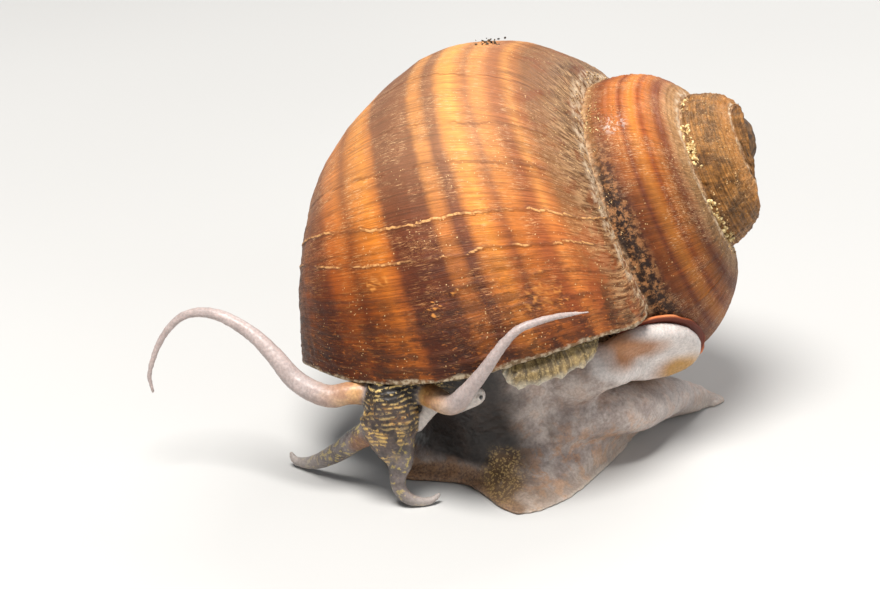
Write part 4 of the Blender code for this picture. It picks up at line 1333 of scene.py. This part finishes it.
class ShellPaints(Paints):
    """The shell's paints, with the fields that several of its layers share."""

    def __init__(self):
        super().__init__("shell")
        self.grow, self.psi = self.attribute("grow"), self.attribute("psi")
        self.last = self.range(self.grow, -210.0, -150.0)
        self.before = self.range(self.grow, -150.0, -210.0)
        self.broad = self.lines(16.0, 14.0, 2.0)
        self.streak = self.lines(0.50, 22.0, 4.0, 0.72)
        self.fibre = self.lines(0.9, 8.0, 6.0, 0.78)
        self.patchy = self.noise(300.0, 4.0)
        near_lip, low_side = self.by_grow(56.0, 84.0), self.by_psi(-28.0, -64.0)
        self.horn = self.math("MAXIMUM", self.times(near_lip, 0.62), self.times(low_side, 0.66))
        self.ragged = self.times(self.range(self.lines(2.4, 8.0, 5.0, 0.65), 0.46, 0.58),
                                 self.horn)

    def by_grow(self, *limits):
        return self.range(self.grow, *limits)

    def by_psi(self, *limits):
        return self.range(self.psi, *limits)

    def lines(self, across, along, detail=3.0, rough=0.6):
        """Noise that is quick from one growth line to the next and slow along each."""
        flat = self.vector(self.math("DIVIDE", self.grow, across),
                           self.math("DIVIDE", self.psi, along))
        return self.noise(1.0, detail, rough, flat)

    def banded(self, psi, colours):
        where = self.math("DIVIDE", self.math("SUBTRACT", psi, PSI_LOW), PSI_SPAN)
        return self.ramp(where, [((at - PSI_LOW) / PSI_SPAN, *colour) for at, *colour in colours])


def shell_bands(p):
    """The bands, whose edges waver, broadly and from one growth line to the next."""
    shift = p.plus(p.centred(p.broad, 3.6), p.centred(p.lines(0.7, 20.0, 2.0), 1.8))
    drift = p.by_grow(55.0, -20.0, 0.0, 9.0)
    bands = p.banded(p.plus(p.plus(p.psi, drift), shift), BAND_COLOURS)
    upper = p.banded(p.plus(p.psi, p.times(shift, 0.5)), UPPER_COLOURS)
    upper = p.tint(upper, (238, 220, 224))
    # Painted light and shade: the whorl before the last is lighter at its top and darker lower down.
    upper = p.shaded(upper, p.by_grow(-345.0, -275.0, 0.95, 0.50))
    dusky = p.times(p.by_psi(38.0, 26.0), p.by_grow(-312.0, -285.0))
    upper = p.mix(dusky, upper, p.tint(upper, (206, 190, 180)))
    return p.mix(p.before, p.tint(bands, (248, 245, 238)), upper)


def early_whorls(p, colour):
    """The oldest whorls are dull brown, with spiral threads and a rusty upper side."""
    early = p.two_tone(p.noise(900.0, 5.0, 0.7), 0.36, 0.62, (98, 64, 32), (160, 108, 52))
    flat = p.vector(p.math("DIVIDE", p.psi, 2.4), p.math("DIVIDE", p.grow, 90.0))
    early = p.shaded(early, p.range(p.noise(1.0, at=flat), 0.4, 0.6, 0.62, 1.2))
    early = p.mix(p.by_psi(52.0, 80.0, 0.0, 0.6), early, (206, 132, 54))
    return p.mix(p.by_grow(-480.0, -580.0), colour, early)


def growth_lines(p, colour):
    """Fine dark lines, pale scratches, curled lines and broad changes of shade."""
    colour = p.shaded(colour, p.range(p.streak, 0.28, 0.72, 0.58, 1.32))
    colour = p.shaded(colour, p.range(p.lines(3.0, 60.0), 0.3, 0.7, 0.84, 1.12))
    worn_line = p.range(p.lines(0.34, 12.0), 0.60, 0.72, 0.0, 0.55)
    colour = p.mix(worn_line, colour, (74, 38, 22))
    scratch = p.times(p.range(p.lines(0.24, 4.0, 2.0), 0.57, 0.68),
                      p.range(p.patchy, 0.40, 0.58), 0.66)
    colour = p.mix(scratch, colour, (240, 200, 154))
    curl = p.math("ABSOLUTE", p.math("SUBTRACT", p.lines(1.5, 5.0, 6.0, 0.8), 0.5))
    curl = p.times(p.range(curl, 0.012, 0.004), p.range(p.patchy, 0.46, 0.60), 0.45)
    return p.mix(curl, colour, (232, 184, 132))


def age_and_lip(p, colour):
    """A pale haze over the older half of the last whorl, partly its dry surface and partly painted
    sheen from the light above, and painted shade that darkens it towards the lip.
    """
    # Partly the shell's dry surface and partly painted sheen from the light above.
    bloom_and_sheen = p.times(p.by_grow(60.0, 30.0, 0.0, 0.17), p.by_psi(56.0, 36.0),
                    p.by_grow(-210.0, -140.0))
    colour = p.mix(bloom_and_sheen, colour, (228, 182, 144))
    # Painted shade, darker towards the lip.
    where = p.math("DIVIDE", p.plus(p.grow, -LIPWARD_LOW), LIPWARD_SPAN)
    colour = p.tint(colour, p.ramp(where, LIPWARD_SHADE))
    side = p.times(p.by_psi(-50.0, -40.0), p.by_psi(-8.0, -16.0), p.by_grow(50.0, 74.0))
    return p.mix(side, colour, p.tint(colour, (214, 203, 160)))


def dark_horn(p, colour):
    """Ragged dark horn near the lip and over the base, with rusty flecks."""
    colour = p.mix(p.ragged, colour, (40, 22, 14))
    flecks = p.times(p.range(p.lines(0.6, 2.6, 4.0, 0.7), 0.57, 0.65), p.horn, 0.60)
    return p.mix(flecks, colour, (204, 120, 52))


def suture_fringe(p, colour):
    """An olive grey fringe towards the suture, with pale fibres and rusty patches below it."""
    fringe = p.range(p.plus(p.psi, p.centred(p.broad, 12.0)), 64.0, 82.0)
    fringe = p.times(fringe, p.range(p.last, 0.0, 1.0, 0.32, 0.72),
                     p.by_grow(30.0, 72.0, 1.0, 0.68))
    fibres = p.two_tone(p.fibre, 0.42, 0.58, (66, 40, 22), (206, 164, 118))
    fibres = p.shaded(fibres, p.range(p.patchy, 0.35, 0.65, 0.60, 1.18))
    colour = p.mix(fringe, colour, fibres)
    rust = p.range(p.noise(420.0, 4.0, 0.65, p.stirred(500.0, 0.8)), 0.49, 0.62)
    rust = p.times(rust, p.last, p.by_psi(46.0, 62.0, 0.0, 0.45))
    return p.mix(rust, colour, (142, 68, 30))


def crown_and_crust(p, colour):
    """The last whorl's crown, duller at its top than near the lip, and lime on the suture."""
    crown = p.times(p.by_grow(38.0, 68.0, -0.24, 0.30), p.times(p.last, p.by_psi(38.0, 54.0)))
    colour = p.shaded(colour, p.plus(1.0, crown))
    crust = p.times(p.range(p.plus(p.psi, p.times(p.broad, 6.0)), 87.0, 92.0),
                    p.range(p.noise(1500.0, 4.0, 0.7), 0.40, 0.62), 0.85)
    return p.mix(crust, colour, (214, 190, 160))


def ridges_and_scars(p, colour):
    ridge = p.attribute("ridge")
    # Painted shadow along the ridges' flanks; their crests are pale.
    colour = p.mix(p.range(ridge, 0.06, 0.24, 0.0, 0.40), colour, (90, 48, 26))
    nicks = p.range(p.lines(3.0, 1.6), 0.40, 0.56, 0.25, 0.85)
    colour = p.mix(p.times(p.range(ridge, 0.42, 0.74), nicks), colour, (224, 166, 104))
    return p.mix(p.range(p.attribute("scar"), 0.20, 0.70, 0.0, 0.8), colour, (214, 140, 66))


def lime_specks(p, colour):
    speck = p.range(p.cells(3000.0, p.stirred(2600.0, 0.22)), 0.20, 0.10)
    few = p.range(p.noise(420.0, 4.0), 0.48, 0.62)
    more = p.math("MAXIMUM", few, p.by_psi(58.0, 80.0, 0.0, 0.8))
    return p.mix(p.times(speck, more, 0.62), colour, (244, 206, 148))


def gully_dirt(p, colour):
    """Dark grit and pale dust in the hollow below the suture, on the whorl before the last."""
    hollow = p.plus(p.psi, p.times(p.broad, 9.0))
    gully = p.times(p.range(hollow, 30.0, 18.0), p.by_grow(-330.0, -292.0, 0.2, 0.92), p.before)
    pitted = p.two_tone(p.noise(1700.0, 5.0, 0.75), 0.46, 0.62, (30, 17, 11), (160, 110, 68))
    colour = p.mix(gully, colour, pitted)
    dust = p.two_tone(p.noise(2200.0, 4.0, 0.7), 0.38, 0.60, (128, 88, 56), (214, 178, 138))
    return p.mix(p.times(p.range(hollow, 11.0, 6.5, 0.0, 0.9), p.before), colour, dust)


def lip_margin(p, colour):
    """The pale, broken margin of the lip."""
    margin = p.plus(p.grow, p.range(p.lines(3.0, 9.0, 5.0, 0.7), 0.3, 0.7, -0.7, 0.4))
    chalk = p.two_tone(p.noise(2600.0), 0.4, 0.6, (112, 92, 66), (178, 162, 136))
    return p.mix(p.range(margin, 85.8, 86.5, 0.0, 0.8), colour, chalk)


def white_fluff(p, colour):
    fluff = p.range(p.noise(2400.0, 5.0, 0.75, p.stirred(1200.0, 0.8)), 0.50, 0.60)
    fluff = p.times(fluff, p.near(place_on_shell(*FLUFF), 1.5), 0.7)
    return p.mix(fluff, colour, (226, 214, 204))


def lining_and_wear(p, colour):
    """The lip's edge, the lining behind it and the places worn off near the apex."""
    inner = p.attribute("inner")
    edge = p.mix(p.noise(2600.0), (120, 102, 74), (206, 196, 172))
    lining = p.mix(p.range(inner, 0.5, 1.0), edge, (70, 44, 34))
    colour = p.mix(p.range(inner, 0.0, 0.2), colour, lining)
    worn = p.mix(p.noise(1400.0, 4.0), (64, 48, 36), (150, 112, 72))
    return p.mix(p.attribute("worn"), colour, worn)


def shell_material():
    p = ShellPaints()
    colour = shell_bands(p)
    for layer in (early_whorls, growth_lines, age_and_lip, dark_horn, suture_fringe,
                  crown_and_crust, ridges_and_scars, lime_specks, gully_dirt, lip_margin,
                  white_fluff, lining_and_wear):
        colour = layer(p, colour)
    normal = p.bump(p.streak, 0.07, 0.9)
    normal = p.bump(p.noise(5200.0), 0.03, 0.7, normal)
    normal = p.bump(p.plus(p.ragged, p.fibre), 0.06, 0.6, normal)
    return p.finish(colour, p.range(p.streak, 0.2, 0.8, 0.62, 0.44), normal,
                    Specular_IOR_Level=0.24)


def worn_material():
    p = Paints("worn_apex")
    tone = p.noise(900.0, 5.0, 0.65)
    colour = p.ramp(tone, ((0.30, 34, 28, 26), (0.45, 74, 54, 38), (0.58, 128, 92, 56),
                           (0.72, 190, 160, 118)))
    return p.finish(colour, 0.75, p.bump(tone, 0.12, 0.8))


def grain_material(name, dark, light):
    p = Paints(name)
    colour = p.two_tone(p.attribute("tone"), 0.1, 0.9, dark, light)
    colour = p.shaded(colour, p.range(p.noise(6000.0, 2.0), 0.3, 0.7, 0.8, 1.15))
    return p.finish(colour, 0.7)


class SkinPaints(Paints):
    """The skin's paints, with the fields that several of its parts share."""

    def __init__(self):
        super().__init__("skin")
        self.along = self.attribute("along")
        self.row = self.attribute("row")
        self.grain = self.noise(4600.0, 4.0, 0.65)
        self.mottle = self.noise(520.0, 4.0, 0.6)
        self.patch = self.noise(210.0)

    def mottled(self, low, high, dark, light):
        return self.two_tone(self.mottle, low, high, dark, light)


def pale_foot(p):
    """Lilac grey, with ochre patches and dark veins, and painted light that makes the tail and the
    edge paler.
    """
    light = p.mottled(0.35, 0.65, (140, 124, 116), (184, 170, 161))
    ochre = p.range(p.noise(620.0, 5.0, 0.7, p.stirred(900.0, 0.6)), 0.48, 0.60)
    low_down = p.range(p.height(), 0.0075, 0.002, 0.25, 1.0)
    light = p.mix(p.times(ochre, low_down, 0.55), light, (186, 132, 84))
    veins = p.range(p.noise(800.0, 3.0, 0.6, p.stirred(700.0, 0.8)), 0.56, 0.66)
    light = p.mix(p.times(veins, 0.35), light, (104, 84, 78))
    # Painted light: paler towards the tail.
    light = p.mix(p.times(p.attribute("tail"), 0.5), light, (208, 196, 190))
    # Painted light: paler near the sole's edge.
    return p.mix(p.range(p.attribute("rim"), 3.0, 0.4, 0.0, 0.35), light, (196, 178, 160))


def foot_and_stem(p):
    """Near black under the shell in front, partly its own colour and partly painted shade, and pale
    towards the tail, with its own front edge and painted shade on the corner nearest the camera.
    """
    dark = p.mottled(0.4, 0.7, (30, 23, 20), (52, 40, 34))
    # Painted shade under the shell, mixed with the skin's own dark colour.
    shade = p.plus(p.attribute("shade"), p.centred(p.patch, 0.5))
    body = p.mix(p.range(shade, 0.15, 0.75), pale_foot(p), dark)
    lip = p.attribute("lip")
    tan = p.two_tone(p.grain, 0.35, 0.6, (104, 72, 50), (156, 116, 82))
    body = p.mix(p.times(lip, 0.8), body, tan)
    dots = p.range(p.cells(4300.0, p.stirred(2600.0, 0.6)), 0.56, 0.26)
    golden = p.mottled(0.35, 0.65, (92, 68, 46), (132, 104, 74))
    golden = p.mix(p.times(dots, 0.85), golden, (216, 180, 116))
    body = p.mix(p.attribute("corner"), body, golden)
    # Painted shade on the top of the corner nearest the camera.
    tip_shade = p.times(p.near(SOLE_TIP, 5.0), p.range(p.mottle, 0.3, 0.7, 0.75, 0.45))
    body = p.mix(tip_shade, body, (112, 92, 74))
    rim = p.plus(p.attribute("rim"), p.times(p.mottle, 0.3))
    pale_rim = p.times(p.range(rim, 0.52, 0.22, 0.0, 0.75), p.math("SUBTRACT", 1.0, lip))
    return p.mix(pale_rim, body, (206, 194, 180))


def feeler_skin(p):
    """Ochre at the base, then pale lilac."""
    base = p.mottled(0.40, 0.60, (178, 116, 54), (206, 156, 88))
    taper = p.plus(p.along, p.centred(p.patch, 0.16))
    feeler = p.mix(p.range(taper, 0.04, 0.28), base, (176, 160, 155))
    return p.shaded(feeler, p.range(p.mottle, 0.3, 0.7, 0.88, 1.10))


def neck_skin(p):
    """Near black with cream dashes in rows across it."""
    dash = p.range(p.noise(2100.0, 2.0), 0.44, 0.54)
    return p.mix(p.times(dash, p.row), (32, 25, 19), (226, 192, 122))


def head_skin(p):
    """Dark grey with golden blotches, which gather in the same rows."""
    head = p.mottled(0.35, 0.65, (48, 38, 34), (98, 82, 76))
    blotch = p.range(p.noise(1250.0, 3.0, 0.6, p.stirred(1500.0, 0.4)), 0.50, 0.57)
    gold = p.two_tone(p.patch, 0.4, 0.6, (216, 176, 100), (196, 124, 60))
    return p.mix(p.times(blotch, p.range(p.row, 0.0, 0.8, 0.20, 0.90)), head, gold)


def palp_skin(p):
    palp = p.mottled(0.3, 0.7, (74, 64, 60), (132, 120, 116))
    spots = p.range(p.noise(2300.0), 0.54, 0.63)
    palp = p.mix(p.times(spots, 0.6), palp, (196, 172, 84))
    return p.mix(p.range(p.along, 0.45, 0.95), palp, (166, 156, 150))


def lobe_skin(p):
    """The operculum's cushion: white, stained with ochre."""
    stain = p.mix(p.attribute("golden"), (166, 112, 70), (178, 132, 62))
    lobe = p.mix(p.attribute("ochre"), (212, 202, 196), stain)
    return p.shaded(lobe, p.range(p.mottle, 0.3, 0.7, 0.86, 1.08))


def flap_skin(p):
    pleats = p.noise(at=p.vector(p.times(p.along, 34.0), p.times(p.mottle, 2.5)))
    flap = p.two_tone(pleats, 0.36, 0.62, (98, 80, 50), (150, 126, 82))
    flap = p.shaded(flap, p.range(p.mottle, 0.35, 0.65, 0.7, 1.2))
    flap = p.mix(p.times(p.range(p.grain, 0.50, 0.64), 0.35), flap, (206, 180, 124))
    return p.mix(p.attribute("flap_edge"), flap, (200, 190, 170))


def skin_material():
    p = SkinPaints()
    colour = foot_and_stem(p)
    for name, part in (("feeler", feeler_skin(p)), ("stalk", (190, 180, 172)),
                       ("head", head_skin(p)), ("palp", palp_skin(p)), ("neck", neck_skin(p)),
                       ("lobe", lobe_skin(p)), ("flap", flap_skin(p))):
        colour = p.mix(p.attribute(name), colour, part)
    colour = p.mix(p.times(p.attribute("mouth"), 0.8), colour, (134, 84, 46))
    # Painted shade in the fold under the cushion.
    colour = p.mix(p.times(p.attribute("slit"), 0.8), colour, (40, 30, 26))
    colour = p.shaded(colour, p.range(p.grain, 0.25, 0.75, 0.80, 1.18))
    normal = p.bump(p.grain, 0.045, 0.8)
    normal = p.bump(p.cells(3000.0), 0.04, 0.35, normal)
    normal = p.bump(p.mottle, 0.08, 0.5, normal)
    p.shader.inputs["Subsurface Radius"].default_value = (1.0, 0.55, 0.40)
    wet = p.plus(p.range(p.grain, 0.3, 0.7, 0.50, 0.34), p.times(p.attribute("neck"), 0.2))
    return p.finish(colour, wet, normal, Subsurface_Weight=0.12, Subsurface_Scale=0.5 * MM,
                    Specular_IOR_Level=0.42, Coat_Weight=0.14, Coat_Roughness=0.25)


def operculum_material():
    p = Paints("operculum")
    oval = p.attribute("oval")
    rings = p.noise(at=p.vector(p.times(oval, 30.0), 0.0))
    colour = p.ramp(oval, ((0.0, 64, 28, 19), (0.80, 82, 34, 22), (0.95, 112, 48, 28),
                           (0.98, 190, 100, 58), (1.0, 222, 136, 88)))
    colour = p.shaded(colour, p.range(rings, 0.3, 0.7, 0.8, 1.15))
    normal = p.bump(p.noise(3000.0), 0.02, 0.5, p.bump(rings, 0.05, 0.6))
    return p.finish(colour, 0.5, normal, Specular_IOR_Level=0.25)


def eye_material():
    p = Paints("eye")
    colour = p.ramp(p.attribute("tilt"),
                    ((0.0, 12, 10, 10), (0.50, 16, 13, 12), (0.62, 120, 108, 100),
                     (0.75, 206, 200, 190), (1.0, 196, 188, 178)))
    colour = p.shaded(colour, p.range(p.noise(9000.0, 2.0), 0.3, 0.7, 0.9, 1.08))
    return p.finish(colour, 0.12, Coat_Weight=0.8, Coat_Roughness=0.05)


# ---- stage

FLOOR_HALF = 2.0  # metres
CAMERA_PLACE = np.array((0.0, -231.8, 107.15))
CAMERA_PITCH = 22.0  # degrees below the horizon
CAMERA_AWAY = 250.0  # millimetres from the shell's middle
VIEW_WIDTH = 73.333  # millimetres across the picture, as far away as that
SENSOR = 36.0
# Lights: name, place and size in metres, power in watts and colour.
LIGHTS = (("key", (-0.05, -0.15, 0.40), 0.19, 3.0, (1.0, 0.98, 0.95)),
          ("fill", (0.34, -0.30, 0.22), 0.30, 0.50, (0.95, 0.97, 1.0)),
          ("rim", (0.16, 0.30, 0.30), 0.20, 0.8, (1.0, 0.99, 0.97)))
LIGHT_AIM = Vector((0.0, 0.0, 0.014))
STUDIO_COLOUR = (0.86, 0.90, 0.95, 1.0)
STUDIO_STRENGTH = 0.26


def build_floor():
    mesh = bpy.data.meshes.new("floor")
    corners = [(x * FLOOR_HALF, y * FLOOR_HALF, 0) for x, y in ((-1, -1), (1, -1), (1, 1), (-1, 1))]
    mesh.from_pydata(corners, [], [(0, 1, 2, 3)])
    obj = add_object("floor", mesh)
    p = Paints("floor")
    colour = p.two_tone(p.noise(6.0, 2.0), 0.3, 0.7, (189, 188, 186), (195, 194, 192))
    mesh.materials.append(p.finish(colour, 0.75))


def build_camera():
    camera = bpy.data.cameras.new("camera")
    obj = add_object("camera", camera)
    obj.location = to_world(CAMERA_PLACE)
    obj.rotation_euler = (math.radians(90.0 - CAMERA_PITCH), 0.0, 0.0)
    camera.sensor_width = SENSOR
    camera.lens = SENSOR * CAMERA_AWAY / VIEW_WIDTH
    camera.clip_start = 0.005
    camera.clip_end = 10.0
    bpy.context.scene.camera = obj


def build_lights():
    for name, place, size, power, colour in LIGHTS:
        light = bpy.data.lights.new(name, "AREA")
        light.shape = "DISK"
        light.size = size
        light.energy = power
        light.color = colour
        obj = add_object(name, light)
        obj.location = place
        obj.rotation_euler = (LIGHT_AIM - obj.location).to_track_quat("-Z", "Y").to_euler()
    world = bpy.data.worlds.new("studio")
    world.use_nodes = True
    background = world.node_tree.nodes["Background"]
    background.inputs["Color"].default_value = STUDIO_COLOUR
    background.inputs["Strength"].default_value = STUDIO_STRENGTH
    bpy.context.scene.world = world
    bpy.context.scene.view_settings.view_transform = "Standard"


# ---- putting it together

def place_piece(obj, slot, *nodes):
    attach(obj, "root")
    if nodes:
        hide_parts(*nodes)


def build_dirt():
    """Grit and lumps where dirt gathers on the shell, and a tuft on its top."""
    grit = grains("grit", *dirt_places(GRIT, 41), 42,
                  grain_material("grit", (92, 62, 36), (226, 188, 132)))
    lumps = grains("lumps", *dirt_places(LUMPS, 43), 44,
                   grain_material("lumps", (170, 132, 74), (240, 216, 158)))
    rng = np.random.default_rng(45)
    places = place_on_shell(*TUFT) + rng.normal(0.0, 0.35, (TUFT_COUNT, 3)) * (1.4, 1.0, 0.5)
    tuft = grains("tuft", places, rng.uniform(0.05, 0.16, TUFT_COUNT), 46,
                  grain_material("tuft", (30, 24, 18), (92, 74, 52)))
    for piece in (grit, lumps, tuft):
        place_piece(piece, "shell")


def build_snail():
    shell = build_shell(shell_material())
    place_piece(shell, "shell", "shell_body_whorl", "shell_second_whorl", "shell_third_whorl")
    place_piece(worn_cap(worn_material()), "worn_shell", "shell_apex")
    skin = build_skin(skin_material())
    place_piece(skin, "foot_skin", "mantle_collar", "mantle_flap", "neck", "head", "palp_left",
                "palp_right", "tentacle_left_base", "tentacle_left_middle", "tentacle_left_tip",
                "tentacle_right_base", "tentacle_right_middle", "tentacle_right_tip",
                "eye_stalk_left", "eye_stalk_right", "foot_front", "foot_middle", "foot_tail",
                "body_stem", "operculum_lobe")
    build_dirt()
    place_piece(build_operculum(operculum_material()), "horn", "operculum")
    eyes = eye_material()
    left = build_eye("eyeball_left", EYE_LEFT, (0.55, -0.75, 0.2), eyes)
    place_piece(left, "eye", "eye_left")
    right = build_eye("eyeball_right", EYE_RIGHT, (-0.5, 0.8, 0.1), eyes)
    place_piece(right, "eye", "eye_right")


build_camera()
build_lights()
build_floor()
build_snail()
